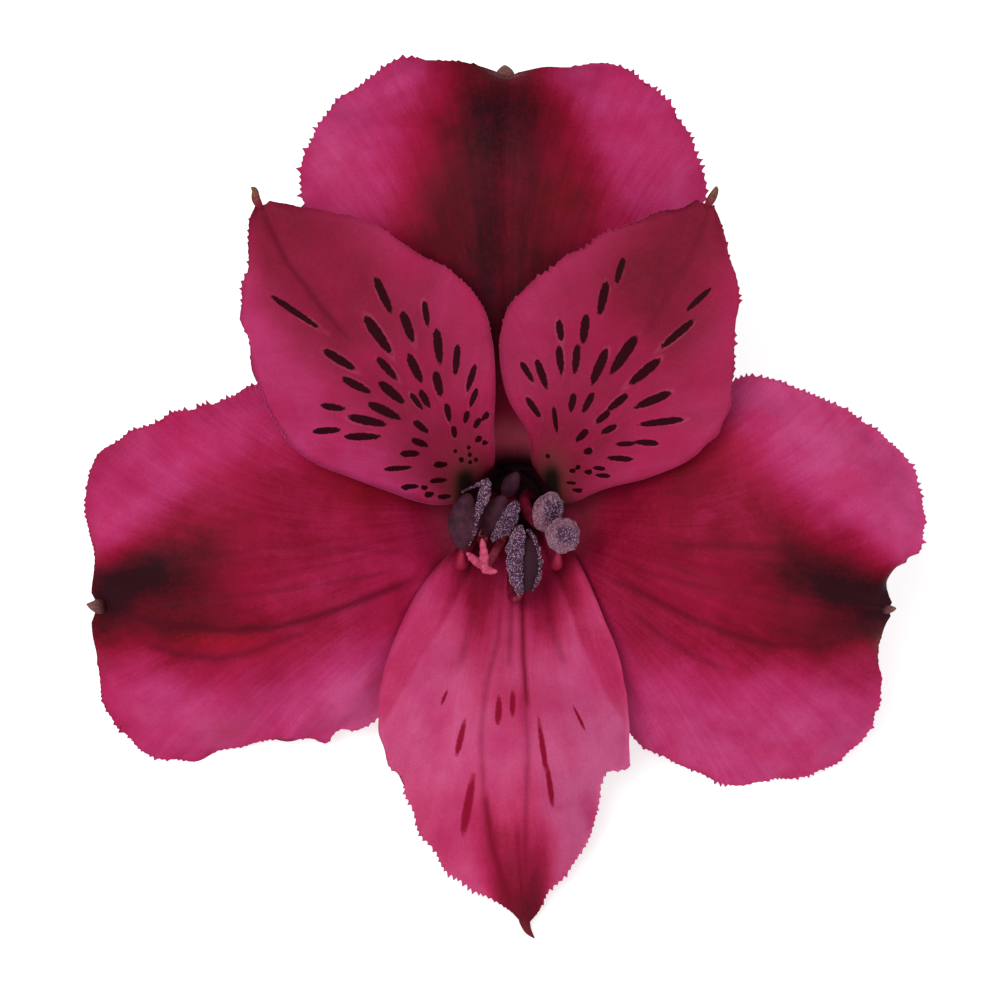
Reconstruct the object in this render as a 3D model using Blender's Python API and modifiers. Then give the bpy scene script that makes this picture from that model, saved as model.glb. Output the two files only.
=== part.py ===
"""One alstroemeria blossom, as picked, lying face up.

The blossom is modelled in its own frame: millimetres, the origin on top of the ovary where everything is
seated, +Z out of the flower's mouth along its axis, +Y towards the upper tepal and +X to the right of
someone who looks into the flower. The last step stands it on the surface: it leans forward on the cut
end of its stalk, the tip of its lower tepal and the lobes of its two side tepals.
"""

import math
from dataclasses import dataclass

import bmesh
import bpy
from mathutils import Euler, Matrix, Vector

MM = 0.001

# How the picked blossom lies: its axis leans towards -Y by LEAN, and ROLL turns it about that axis's foot
# until both side tepals touch, in degrees.
LEAN = 42.5
ROLL = -1.7

# Clearances between touching organs.
SEAT_GAP = 0.35
ANTHER_GAP = 0.45
STALK_GAP = 0.4

# The rings of feet on the ovary's flat top, and how far round each tepal's foot reaches, in degrees.
OUTER_RING = 3.4
INNER_RING = 2.5
STAMEN_RING = 1.6
OUTER_FOOT_HALF_ANGLE = 46.0
INNER_FOOT_HALF_ANGLE = 44.0

TEPAL_THICKNESS = 0.4
TEPAL_ACROSS = 12
TEPAL_ALONG = 30
MIDRIB_LEAD = 1.1
TIP_WELD = 0.01

# Tubes: their radius, how thick a filament's tip is as a share of it, and the length of one step.
FILAMENT_RADIUS = 0.42
FILAMENT_TIP = 0.5
STYLE_RADIUS = 0.42
STIGMA_RADIUS = 0.36
TUBE_STEP = 0.9
TUBE_BEVEL_RESOLUTION = 2
WELD_DISTANCE = 1e-6

ANTHER_SEGMENTS = 16
ANTHER_RINGS = 12
ANTHER_GROOVE = 0.22
ANTHER_GROOVE_WIDTH = 0.3

# The ovary is a turned shape with ribs: its radii at the foot, where it is widest, and at its flat top.
OVARY_LENGTH = 7.0
OVARY_TOP_RADIUS = 3.7
OVARY_RADIUS = 3.95
OVARY_FOOT_RADIUS = 1.35
OVARY_SWELL = 0.9
OVARY_SHOULDER = 0.85
OVARY_RIBS = 6
OVARY_RIB_DEPTH = 0.06
OVARY_SEGMENTS = 42
OVARY_RINGS = 10

PEDICEL_LENGTH = 4.0
PEDICEL_RADIUS = 1.15
PEDICEL_BEND = 0.7


@dataclass
class Tepal:
    """The three lines that a tepal is lofted between, each from above its foot on the seat to its tip.

    left and right are its margins, anticlockwise and clockwise of the midrib.
    """

    name: str
    angle: float
    ring: float
    foot_half_angle: float
    midrib: tuple
    left: tuple
    right: tuple


TEPALS = (
    Tepal(
        "outer_tepal_top", 90.0, OUTER_RING, OUTER_FOOT_HALF_ANGLE,
        midrib=((-0.1, 4.1, 5.5), (-0.3, 6.3, 11.0), (-0.5, 11.0, 15.8), (-0.6, 18.5, 19.0),
                (-0.7, 26.5, 20.0), (-0.7, 33.0, 18.6), (-0.7, 35.2, 15.4)),
        left=((-2.5, 3.8, 5.5), (-3.6, 5.6, 10.8), (-7.6, 10.2, 14.6), (-12.2, 16.0, 17.0),
              (-15.6, 20.5, 17.5), (-17.4, 23.6, 17.3), (-17.9, 26.1, 16.8), (-17.0, 29.7, 16.6),
              (-15.3, 32.4, 16.0), (-12.5, 35.0, 15.5), (-9.2, 36.4, 15.0), (-5.0, 35.9, 15.0),
              (-0.7, 35.2, 15.4)),
        right=((2.5, 3.8, 5.5), (3.5, 5.6, 10.8), (7.0, 10.2, 14.6), (11.0, 15.6, 17.0),
               (13.9, 20.0, 17.5), (15.4, 23.3, 17.3), (15.9, 26.1, 16.8), (14.6, 30.0, 16.5),
               (12.7, 33.0, 16.0), (9.8, 35.5, 15.5), (6.6, 36.2, 15.1), (3.6, 35.8, 15.0),
               (-0.7, 35.2, 15.4)),
    ),
    Tepal(
        "outer_tepal_left", 210.0, OUTER_RING, OUTER_FOOT_HALF_ANGLE,
        midrib=((-3.7, -2.2, 5.5), (-5.7, -3.0, 10.4), (-9.8, -4.2, 14.8), (-16.5, -6.0, 17.2),
                (-24.0, -7.4, 17.9), (-31.0, -8.4, 16.9), (-35.3, -8.8, 14.8)),
        left=((-2.2, -4.3, 5.5), (-3.5, -6.8, 9.2), (-5.4, -9.8, 11.4), (-8.4, -14.2, 11.8),
              (-12.0, -18.4, 11.0), (-16.2, -20.0, 9.9), (-21.2, -20.3, 9.1), (-24.4, -21.3, 8.9),
              (-27.6, -21.8, 8.9), (-30.9, -21.0, 9.5), (-33.5, -18.4, 11.2), (-34.9, -14.4, 13.0),
              (-35.3, -8.8, 14.8)),
        right=((-4.6, -0.2, 5.5), (-6.9, 1.2, 10.6), (-11.2, 4.0, 14.0), (-16.2, 7.3, 15.8),
               (-20.4, 9.3, 16.4), (-24.0, 8.3, 16.6), (-27.2, 7.4, 16.4), (-30.4, 6.4, 16.1),
               (-33.2, 5.1, 15.8), (-34.9, 2.4, 15.6), (-35.3, -1.2, 15.6), (-34.8, -4.2, 15.6),
               (-35.3, -8.8, 14.8)),
    ),
    Tepal(
        "outer_tepal_right", 330.0, OUTER_RING, OUTER_FOOT_HALF_ANGLE,
        midrib=((3.7, -2.2, 5.5), (5.7, -3.0, 10.4), (9.6, -4.2, 14.8), (15.8, -6.0, 17.2),
                (22.2, -7.6, 17.9), (28.0, -8.6, 16.9), (31.5, -9.0, 14.9)),
        left=((4.6, -0.2, 5.5), (6.8, 1.3, 10.6), (10.6, 4.2, 14.0), (14.6, 7.8, 15.8),
              (18.8, 10.2, 16.4), (22.6, 9.5, 16.6), (26.2, 8.0, 16.5), (29.4, 6.2, 16.2),
              (32.3, 3.6, 15.9), (33.9, -0.2, 15.6), (33.3, -4.2, 15.4), (30.9, -6.6, 15.3),
              (31.5, -9.0, 14.9)),
        right=((2.2, -4.3, 5.5), (3.3, -6.8, 9.2), (4.8, -10.2, 11.6), (7.2, -15.4, 11.8),
               (10.4, -20.2, 10.8), (14.6, -22.6, 9.8), (19.0, -23.8, 9.0), (23.0, -23.6, 8.9),
               (26.9, -22.3, 9.1), (29.7, -19.2, 10.0), (30.7, -15.6, 11.4), (30.3, -11.8, 13.2),
               (31.5, -9.0, 14.9)),
    ),
    Tepal(
        "inner_tepal_left", 150.0, INNER_RING, INNER_FOOT_HALF_ANGLE,
        midrib=((-3.1, 1.7, 5.5), (-3.9, 1.9, 10.5), (-6.8, 5.2, 15.0), (-10.6, 10.0, 18.8),
                (-15.0, 15.8, 21.8), (-18.8, 20.8, 23.6), (-21.2, 25.3, 24.4)),
        left=((-3.7, 0.1, 5.8), (-4.9, -0.3, 12.2), (-8.2, -0.3, 15.2), (-12.8, 1.3, 17.8),
              (-17.1, 3.5, 19.6), (-20.2, 7.2, 20.8), (-21.5, 11.4, 21.4), (-22.4, 14.9, 22.2),
              (-21.7, 18.6, 23.0), (-21.4, 21.4, 23.6), (-20.9, 23.5, 24.0), (-21.2, 25.3, 24.4)),
        right=((-2.0, 2.6, 5.8), (-2.0, 3.0, 12.0), (-1.9, 5.6, 15.6), (-1.6, 8.8, 18.6),
               (-1.8, 12.4, 20.4), (-2.5, 15.8, 21.4), (-5.0, 18.3, 22.0), (-8.2, 20.2, 22.7),
               (-11.6, 22.4, 23.3), (-15.0, 23.3, 23.8), (-18.7, 23.8, 24.2), (-21.2, 25.3, 24.4)),
    ),
    Tepal(
        "inner_tepal_right", 30.0, INNER_RING, INNER_FOOT_HALF_ANGLE,
        midrib=((2.8, 1.7, 5.5), (2.9, 1.8, 10.5), (5.2, 5.0, 15.0), (8.2, 9.8, 18.8),
                (11.6, 15.6, 21.6), (14.5, 20.8, 23.2), (16.2, 25.3, 24.0)),
        left=((1.9, 2.6, 5.8), (1.6, 3.0, 11.6), (1.2, 5.4, 14.8), (-0.6, 8.4, 17.4),
              (-1.3, 12.0, 19.0), (-0.9, 15.4, 20.2), (1.6, 18.0, 21.2), (4.4, 20.1, 21.8),
              (7.4, 22.0, 22.5), (10.6, 23.1, 23.1), (13.6, 23.8, 23.6), (16.2, 25.3, 24.0)),
        right=((3.4, 0.1, 5.8), (4.3, 0.0, 12.0), (7.0, 0.9, 15.0), (10.8, 1.8, 17.6),
               (14.7, 3.6, 19.4), (17.3, 6.9, 20.6), (17.8, 10.8, 21.4), (18.3, 14.4, 22.0),
               (18.1, 17.4, 22.6), (17.2, 20.6, 23.0), (16.5, 23.0, 23.5), (16.2, 25.3, 24.0)),
    ),
    Tepal(
        "inner_tepal_lower", 270.0, INNER_RING, INNER_FOOT_HALF_ANGLE,
        midrib=((0.0, -3.6, 5.5), (0.0, -6.0, 10.5), (-0.2, -10.2, 15.2), (-0.5, -15.6, 18.6),
                (-0.6, -22.0, 20.8), (0.0, -28.8, 21.6), (1.5, -35.6, 20.8)),
        left=((1.9, -2.9, 5.8), (4.0, -4.4, 11.4), (6.3, -7.9, 14.2), (8.1, -11.8, 15.2),
              (9.1, -15.8, 15.4), (9.5, -19.4, 15.6), (9.0, -21.9, 15.8), (7.6, -24.6, 16.8),
              (6.5, -27.8, 17.6), (4.9, -30.6, 18.4), (2.4, -32.9, 19.4), (1.5, -35.6, 20.8)),
        right=((-1.9, -2.9, 5.8), (-4.4, -4.5, 11.6), (-7.8, -7.9, 14.2), (-10.1, -11.8, 15.0),
               (-11.0, -15.6, 15.2), (-11.3, -19.0, 15.4), (-10.2, -21.7, 15.8),
               (-8.5, -25.2, 16.6), (-6.9, -28.4, 17.4), (-5.4, -31.2, 18.2), (-1.9, -33.0, 19.4),
               (1.5, -35.6, 20.8)),
    ),
)


@dataclass
class Stamen:
    """A filament from the seat to the foot of its anther, and the anther from foot to top."""

    name: str
    angle: float
    route: tuple
    anther_foot: tuple
    anther_top: tuple
    width: float
    depth: float


STAMENS = (
    Stamen("left", 210.0,
           route=((-1.9, -1.4, 5.0), (-2.9, -2.4, 9.2), (-4.1, -3.9, 12.6), (-4.7, -5.3, 15.0)),
           anther_foot=(-4.45, -4.2, 16.6), anther_top=(-3.6, 1.0, 17.0), width=2.6, depth=1.6),
    Stamen("middle_left", 150.0,
           route=((-1.8, 0.1, 5.0), (-2.1, -1.2, 8.6), (-2.4, -2.4, 11.2), (-2.8, -3.5, 12.6)),
           anther_foot=(-2.2, -3.1, 13.8), anther_top=(-0.3, 0.6, 15.4), width=2.0, depth=1.6),
    Stamen("lower", 270.0,
           route=((0.1, -2.0, 5.0), (0.1, -3.8, 10.0), (-0.3, -6.2, 14.4), (-0.1, -8.1, 16.7)),
           anther_foot=(0.85, -7.5, 17.9), anther_top=(1.0, -2.1, 18.2), width=2.5, depth=1.7),
    Stamen("middle_right", 30.0,
           route=((1.6, 0.2, 5.0), (1.8, -1.0, 8.8), (2.0, -2.5, 11.4), (2.2, -3.5, 13.0)),
           anther_foot=(2.45, -2.8, 14.2), anther_top=(3.4, 0.8, 16.4), width=2.4, depth=1.8),
    Stamen("right", 330.0,
           route=((1.8, -1.4, 5.0), (2.6, -2.4, 9.2), (3.4, -4.1, 12.6), (3.8, -5.4, 14.4)),
           anther_foot=(3.7, -4.3, 16.0), anther_top=(4.3, -1.8, 19.2), width=2.6, depth=2.0),
    Stamen("upper", 90.0,
           route=((0.0, 1.5, 4.0), (0.0, 0.7, 7.0), (0.0, 0.1, 9.2)),
           anther_foot=(0.0, 0.3, 10.8), anther_top=(0.1, 2.3, 13.8), width=1.8, depth=1.5),
)

STYLE_ROUTE = ((0.0, -0.3, 4.6), (-0.4, -1.7, 8.6), (-1.4, -3.9, 12.4), (-2.2, -5.2, 15.0), (-2.6, -5.5, 16.6))
STIGMA_TIPS = ((-3.9, -4.3, 18.4), (-2.7, -3.2, 17.9), (-1.5, -5.9, 17.5))
STIGMA_RISE = 0.5

# Base colours as linear values, with roughness.
SHADES = {
    "outer_tepal": ((0.36, 0.012, 0.075, 1.0), 0.55),
    "inner_tepal": ((0.40, 0.020, 0.100, 1.0), 0.55),
    "filament": ((0.45, 0.03, 0.08, 1.0), 0.45),
    "anther": ((0.12, 0.06, 0.11, 1.0), 0.85),
    "style": ((0.60, 0.07, 0.14, 1.0), 0.45),
    "ovary": ((0.10, 0.17, 0.035, 1.0), 0.50),
    "pedicel": ((0.12, 0.20, 0.05, 1.0), 0.50),
}


def spline(points, share):
    """A point on the smooth curve through the points, which are evenly spread over share 0 to 1."""
    last = len(points) - 1
    place = min(max(share, 0.0), 1.0) * last
    i = min(int(place), last - 1)
    t = place - i
    p1, p2 = Vector(points[i]), Vector(points[i + 1])
    p0 = Vector(points[i - 1]) if i > 0 else 2 * p1 - p2
    p3 = Vector(points[i + 2]) if i + 2 <= last else 2 * p2 - p1
    return 0.5 * (2 * p1 + (p2 - p0) * t + (2 * p0 - 5 * p1 + 4 * p2 - p3) * t ** 2
                  + (3 * p1 - p0 - 3 * p2 + p3) * t ** 3)


def on_ring(radius, degrees):
    """A point on a ring of feet, just above the ovary's flat top."""
    angle = math.radians(degrees)
    return (radius * math.cos(angle), radius * math.sin(angle), SEAT_GAP)


def tepal_point(tepal, along, across):
    """The tepal's middle surface: along runs 0 to 1 from foot to tip, across -1 to 1 from left to right."""
    feet = [on_ring(tepal.ring, tepal.angle + turn * tepal.foot_half_angle) for turn in (1, 0, -1)]
    on_left = spline((feet[0], *tepal.left), along)
    on_midrib = spline((feet[1], *tepal.midrib), along * (1 + MIDRIB_LEAD * (1 - along) ** 2))
    on_right = spline((feet[2], *tepal.right), along)
    return (on_left * across * (across - 1) / 2 + on_midrib * (1 - across ** 2)
            + on_right * across * (across + 1) / 2)


def material(name, kind):
    """The plain material of one sub-part, in the colour of its kind."""
    made = bpy.data.materials.new(name)
    made.use_nodes = True
    colour, roughness = SHADES[kind]
    shader = made.node_tree.nodes["Principled BSDF"]
    shader.inputs["Base Color"].default_value = colour
    shader.inputs["Roughness"].default_value = roughness
    shader.inputs["Metallic"].default_value = 0.0
    return made


def new_object(name, data, kind, flower, collection):
    """Puts data in the scene as a named sub-part that hangs from the flower's empty."""
    obj = bpy.data.objects.new(name, data)
    data.materials.append(material(name, kind))
    collection.objects.link(obj)
    obj.parent = flower
    return obj


def mesh_from(bm, name):
    """A smooth-shaded mesh, in metres, from a bmesh in millimetres."""
    bmesh.ops.scale(bm, vec=(MM, MM, MM), verts=bm.verts)
    mesh = bpy.data.meshes.new(name)
    bm.to_mesh(mesh)
    bm.free()
    mesh.shade_smooth()
    return mesh


def make_tepal(tepal, flower, collection):
    """A tepal: a grid bent to its loft, and given its thickness."""
    bm = bmesh.new()
    bmesh.ops.create_grid(bm, x_segments=TEPAL_ACROSS, y_segments=TEPAL_ALONG, size=1.0)
    for vert in bm.verts:
        vert.co = tepal_point(tepal, (vert.co.y + 1) / 2, vert.co.x)
    bmesh.ops.remove_doubles(bm, verts=bm.verts, dist=TIP_WELD)
    kind = tepal.name.rsplit("_", 1)[0]
    obj = new_object(tepal.name, mesh_from(bm, tepal.name), kind, flower, collection)
    solidify = obj.modifiers.new("thickness", "SOLIDIFY")
    solidify.thickness = TEPAL_THICKNESS * MM
    solidify.offset = 0.0
    solidify.use_even_offset = True
    return obj


def tube(name, route, radius, tip_share=1.0):
    """A round tube, in metres, along the smooth curve through a route in millimetres.

    tip_share is how thick its last point is, as a share of the rest.
    """
    length = sum((Vector(b) - Vector(a)).length for a, b in zip(route, route[1:]))
    steps = max(4, round(length / TUBE_STEP))
    curve = bpy.data.curves.new(name, "CURVE")
    curve.dimensions = "3D"
    curve.bevel_depth = radius * MM
    curve.bevel_resolution = TUBE_BEVEL_RESOLUTION
    curve.use_fill_caps = True
    line = curve.splines.new("POLY")
    line.points.add(steps)
    for i, point in enumerate(line.points):
        point.co = (*(spline(route, i / steps) * MM), 1.0)
    line.points[-1].radius = tip_share
    return curve


def solid_tube(name, route, radius):
    """The same tube as a closed mesh object with welded caps, so that a Boolean can take it."""
    guide = bpy.data.objects.new(name, tube(name, route, radius))
    bpy.context.scene.collection.objects.link(guide)
    bpy.context.view_layer.update()
    evaluated = guide.evaluated_get(bpy.context.evaluated_depsgraph_get())
    mesh = bpy.data.meshes.new_from_object(evaluated)
    bm = bmesh.new()
    bm.from_mesh(mesh)
    bmesh.ops.remove_doubles(bm, verts=bm.verts, dist=WELD_DISTANCE)
    bm.to_mesh(mesh)
    bm.free()
    bpy.data.objects.remove(guide)
    return mesh


def anther_axes(stamen):
    """The anther's centre and its frame: local +Z from foot to top, local +Y towards the flower's face."""
    foot, top = Vector(stamen.anther_foot), Vector(stamen.anther_top)
    long_axis = (top - foot).normalized()
    face = Vector((0, 0, 1)) - long_axis * long_axis.z
    face.normalize()
    side = face.cross(long_axis)
    frame = Matrix((side, face, long_axis)).transposed()
    return (foot + top) / 2, frame


def make_anther(stamen, flower, collection):
    """An anther: a long bead with a groove down the face that it opens by."""
    centre, frame = anther_axes(stamen)
    length = (Vector(stamen.anther_top) - Vector(stamen.anther_foot)).length
    bm = bmesh.new()
    bmesh.ops.create_uvsphere(bm, u_segments=ANTHER_SEGMENTS, v_segments=ANTHER_RINGS, radius=1.0)
    for vert in bm.verts:
        x, y, z = vert.co
        groove = ANTHER_GROOVE * math.exp(-(x / ANTHER_GROOVE_WIDTH) ** 2) * (1 - z ** 2) if y > 0 else 0.0
        bead = Vector((x * stamen.width / 2, (y - groove) * stamen.depth / 2, z * length / 2))
        vert.co = centre + frame @ bead
    name = f"anther_{stamen.name}"
    return new_object(name, mesh_from(bm, name), "anther", flower, collection)


def make_filament(stamen, flower, collection):
    """A filament: a tube that ends just short of its anther's foot."""
    foot, top = Vector(stamen.anther_foot), Vector(stamen.anther_top)
    end = foot - (top - foot).normalized() * ANTHER_GAP
    route = (on_ring(STAMEN_RING, stamen.angle), *stamen.route, tuple(end))
    name = f"filament_{stamen.name}"
    return new_object(name, tube(name, route, FILAMENT_RADIUS, FILAMENT_TIP), "filament", flower, collection)


def make_style(flower, collection, helpers):
    """The style and the three branches of its stigma, joined in one solid."""
    route = ((0.0, 0.0, SEAT_GAP), *STYLE_ROUTE)
    style = new_object("style", solid_tube("style", route, STYLE_RADIUS), "style", flower, collection)
    fork = Vector(STYLE_ROUTE[-1])
    root = fork - Vector((0, 0, STIGMA_RISE))
    for i, tip in enumerate(STIGMA_TIPS):
        knee = fork.lerp(Vector(tip), 0.4) + Vector((0, 0, STIGMA_RISE / 3))
        mesh = solid_tube(f"stigma_{i}", (tuple(root), tuple(knee), tip), STIGMA_RADIUS)
        branch = new_object(f"stigma_{i}", mesh, "style", flower, helpers)
        branch.hide_render = True
        branch.display_type = "WIRE"
        union = style.modifiers.new(f"stigma_{i}", "BOOLEAN")
        union.operation = "UNION"
        union.object = branch
    return style


def ovary_radius(share):
    """The ovary's outline from its foot, share 0, to its flat top, share 1."""
    swell = math.sin(math.pi / 2 * min(1.0, share / OVARY_SHOULDER) ** OVARY_SWELL)
    shoulder = max(0.0, share - OVARY_SHOULDER) / (1 - OVARY_SHOULDER)
    return (OVARY_FOOT_RADIUS + (OVARY_RADIUS - OVARY_FOOT_RADIUS) * swell
            - (OVARY_RADIUS - OVARY_TOP_RADIUS) * shoulder)


def make_ovary(flower, collection):
    """The ovary below the tepals: a ribbed top shape with a flat seat on it."""
    bm = bmesh.new()
    made = bmesh.ops.create_cone(bm, cap_ends=True, segments=OVARY_SEGMENTS, radius1=1.0, radius2=1.0,
                                 depth=OVARY_LENGTH)
    sides = [e for e in bm.edges if abs(e.verts[0].co.z - e.verts[1].co.z) > OVARY_LENGTH / 2]
    bmesh.ops.subdivide_edges(bm, edges=sides, cuts=OVARY_RINGS)
    for vert in bm.verts:
        share = vert.co.z / OVARY_LENGTH + 0.5
        angle = math.atan2(vert.co.y, vert.co.x)
        rib = OVARY_RIB_DEPTH * math.sin(math.pi * share) * math.cos(OVARY_RIBS * angle)
        radius = ovary_radius(share) * (1 + rib)
        vert.co = (radius * math.cos(angle), radius * math.sin(angle), (share - 1) * OVARY_LENGTH)
    return new_object("ovary", mesh_from(bm, "ovary"), "ovary", flower, collection)


def make_pedicel(flower, collection):
    """The short stalk left by picking, with its square cut end."""
    top = -OVARY_LENGTH - STALK_GAP
    route = ((0.0, 0.0, top), (0.0, PEDICEL_BEND * 0.3, top - PEDICEL_LENGTH / 2),
             (0.0, PEDICEL_BEND, top - PEDICEL_LENGTH))
    return new_object("pedicel", tube("pedicel", route, PEDICEL_RADIUS), "pedicel", flower, collection)


def lay_down(flower, parts):
    """Leans the blossom and sets it on the surface, with its box centred over the origin."""
    flower.rotation_euler = Euler((math.radians(LEAN), math.radians(ROLL), 0.0))
    bpy.context.view_layer.update()
    graph = bpy.context.evaluated_depsgraph_get()
    low = Vector((math.inf,) * 3)
    high = -low
    for part in parts:
        evaluated = part.evaluated_get(graph)
        mesh = evaluated.to_mesh()
        for vert in mesh.vertices:
            place = evaluated.matrix_world @ vert.co
            low = Vector(map(min, low, place))
            high = Vector(map(max, high, place))
        evaluated.to_mesh_clear()
    flower.location = (-(low.x + high.x) / 2, -(low.y + high.y) / 2, -low.z)
    bpy.context.view_layer.update()


def main():
    for obj in list(bpy.data.objects):
        bpy.data.objects.remove(obj)
    collection = bpy.data.collections.new("alstroemeria")
    helpers = bpy.data.collections.new("helpers")
    for made in (collection, helpers):
        bpy.context.scene.collection.children.link(made)
    flower = bpy.data.objects.new("blossom_frame", None)
    collection.objects.link(flower)

    parts = [make_tepal(tepal, flower, collection) for tepal in TEPALS]
    parts += [make_filament(stamen, flower, collection) for stamen in STAMENS]
    parts += [make_anther(stamen, flower, collection) for stamen in STAMENS]
    parts.append(make_style(flower, collection, helpers))
    parts.append(make_ovary(flower, collection))
    parts.append(make_pedicel(flower, collection))
    lay_down(flower, parts)


main()
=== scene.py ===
"""The looks of one alstroemeria blossom that lies face up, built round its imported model.

The blossom has a frame of its own, in millimetres: the origin on top of the ovary where everything is seated,
+Z out of the flower's mouth, +Y towards the upper tepal and +X to the right of someone who looks into it.
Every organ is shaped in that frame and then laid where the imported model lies. Markings are placed on the
flower's face plane, by where they show for someone who looks straight into the mouth.
"""

import logging
import math
from dataclasses import dataclass, field
from enum import Enum

import bpy
import numpy as np
from mathutils import Euler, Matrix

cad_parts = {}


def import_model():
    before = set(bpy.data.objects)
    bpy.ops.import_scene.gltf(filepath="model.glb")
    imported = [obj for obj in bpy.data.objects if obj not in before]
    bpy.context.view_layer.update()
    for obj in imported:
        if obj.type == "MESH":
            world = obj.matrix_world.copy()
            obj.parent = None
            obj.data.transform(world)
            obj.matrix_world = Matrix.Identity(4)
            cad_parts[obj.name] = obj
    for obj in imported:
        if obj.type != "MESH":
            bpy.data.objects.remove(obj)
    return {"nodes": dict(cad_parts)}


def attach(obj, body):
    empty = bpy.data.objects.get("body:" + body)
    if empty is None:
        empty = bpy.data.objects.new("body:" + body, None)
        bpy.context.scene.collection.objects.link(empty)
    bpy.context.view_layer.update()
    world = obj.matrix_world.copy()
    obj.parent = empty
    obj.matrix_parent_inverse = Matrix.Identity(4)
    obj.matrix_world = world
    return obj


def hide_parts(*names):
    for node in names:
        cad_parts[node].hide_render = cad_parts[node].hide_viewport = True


log = logging.getLogger("alstroemeria")

MM = 0.001

# How the picked blossom lies, in degrees: its axis leans towards -Y, and it rolls onto both side tepals.
LEAN = 42.5
ROLL = -1.7

# Someone who looks into the flower: how far they are from the face plane, the plane's height over the seat,
# and how far they stand to the side, in millimetres.
SIGHT = 455.6
FACE_HEIGHT = 18.0
EYE_X = -1.23

OUTER_RING = 3.4
INNER_RING = 2.5
STAMEN_RING = 1.6
OUTER_FOOT_HALF_ANGLE = 46.0
INNER_FOOT_HALF_ANGLE = 44.0
MIDRIB_LEAD = 1.1
SEAT_HEIGHT = 0.05

OVARY_LENGTH = 7.0
PEDICEL_LENGTH = 4.0
PEDICEL_BEND = 0.7


# ---- Curves, fields and meshes ----


def through(points, share) -> np.ndarray:
    """Places on the smooth curve through points that are evenly spread over share 0 to 1.

    Args:
        points: The points or numbers that the curve passes through.
        share: How far along the curve, as an array of any shape.

    Returns:
        The places, in an array of share's shape with the points' own axis after it.
    """
    knots = np.asarray(points, float)
    last = len(knots) - 1
    place = np.clip(share, 0.0, 1.0) * last
    i = np.minimum(place.astype(int), last - 1)
    t = place - i
    if knots.ndim > 1:
        t = t[..., None]
    held = np.concatenate(([2 * knots[0] - knots[1]], knots, [2 * knots[-1] - knots[-2]]))
    p0, p1, p2, p3 = held[i], held[i + 1], held[i + 2], held[i + 3]
    return 0.5 * (2 * p1 + (p2 - p0) * t + (2 * p0 - 5 * p1 + 4 * p2 - p3) * t**2
                  + (3 * p1 - p0 - 3 * p2 + p3) * t**3)


def ease(low: float, high: float, value) -> np.ndarray:
    """A smooth step from 0 at low to 1 at high; low may be the higher of the two."""
    t = np.clip((value - low) / (high - low), 0.0, 1.0)
    return t * t * (3 - 2 * t)


def on_ring(radius: float, degrees: float) -> tuple:
    """A point on a ring of feet on the ovary's flat top."""
    angle = math.radians(degrees)
    return radius * math.cos(angle), radius * math.sin(angle), SEAT_HEIGHT


def on_face(points: np.ndarray) -> np.ndarray:
    """Where points show on the flower's face plane, for someone who looks straight into the mouth."""
    spread = SIGHT / (SIGHT - (points[..., 2] - FACE_HEIGHT))
    return np.stack((EYE_X + (points[..., 0] - EYE_X) * spread, points[..., 1] * spread), -1)


def from_line(points: np.ndarray, line) -> tuple:
    """Measures points on the face plane against a line drawn there.

    Args:
        points: The points, one row each.
        line: The line's own points, in order.

    Returns:
        Each point's share of the way along the line, and its distance from it, above 0 on the line's left.
    """
    line = np.asarray(line, float)
    steps = np.diff(line, axis=0)
    lengths = np.linalg.norm(steps, axis=1)
    starts = np.concatenate(([0.0], np.cumsum(lengths)))
    best = np.full(len(points), np.inf)
    share = np.zeros(len(points))
    apart = np.zeros(len(points))
    for k, step in enumerate(steps):
        away = points - line[k]
        t = np.clip(away @ step / lengths[k] ** 2, 0.0, 1.0)
        off = np.linalg.norm(away - t[:, None] * step, axis=1)
        nearer = off < best
        side = np.sign(step[0] * away[:, 1] - step[1] * away[:, 0])
        best[nearer] = off[nearer]
        share[nearer] = (starts[k] + t[nearer] * lengths[k]) / starts[-1]
        apart[nearer] = (off * side)[nearer]
    return share, apart


class Ripple:
    """Smooth seeded unevenness: a sum of waves that run in every direction."""

    def __init__(self, seed: int, wavelength: float, waves: int = 9) -> None:
        """Draws the waves.

        Args:
            seed: Fixes the draw.
            wavelength: The usual distance from crest to crest, in millimetres.
            waves: How many waves are added up.
        """
        draw = np.random.default_rng(seed)
        ways = draw.normal(size=(waves, 3))
        ways /= np.linalg.norm(ways, axis=1, keepdims=True)
        self.ways = ways * 2 * math.pi / (wavelength * draw.uniform(0.7, 1.5, (waves, 1)))
        self.starts = draw.uniform(0, 2 * math.pi, waves)
        self.scale = math.sqrt(2.0 / waves)

    def at(self, points: np.ndarray) -> np.ndarray:
        """The unevenness at each point, mostly between -1 and 1."""
        return self.scale * np.sin(points @ self.ways.T + self.starts).sum(-1)


class BlossomFrame:
    """Takes places in the blossom's own frame, in millimetres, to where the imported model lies, in metres."""

    def __init__(self, ovary: bpy.types.Object) -> None:
        """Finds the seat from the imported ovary, whose flat top is the frame's origin."""
        self.turn = np.array(Euler((math.radians(LEAN), math.radians(ROLL), 0.0)).to_matrix())
        places = np.array([vert.co for vert in ovary.data.vertices]) @ self.turn
        low, high = places.min(0), places.max(0)
        self.seat = self.turn @ np.array(((low[0] + high[0]) / 2, (low[1] + high[1]) / 2, high[2]))

    def place(self, points: np.ndarray) -> np.ndarray:
        """The points where they lie in the scene, never below the surface that the blossom lies on."""
        laid = np.asarray(points, float) * MM @ self.turn.T + self.seat
        laid[..., 2] = np.maximum(laid[..., 2], 0.0)
        return laid


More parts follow.
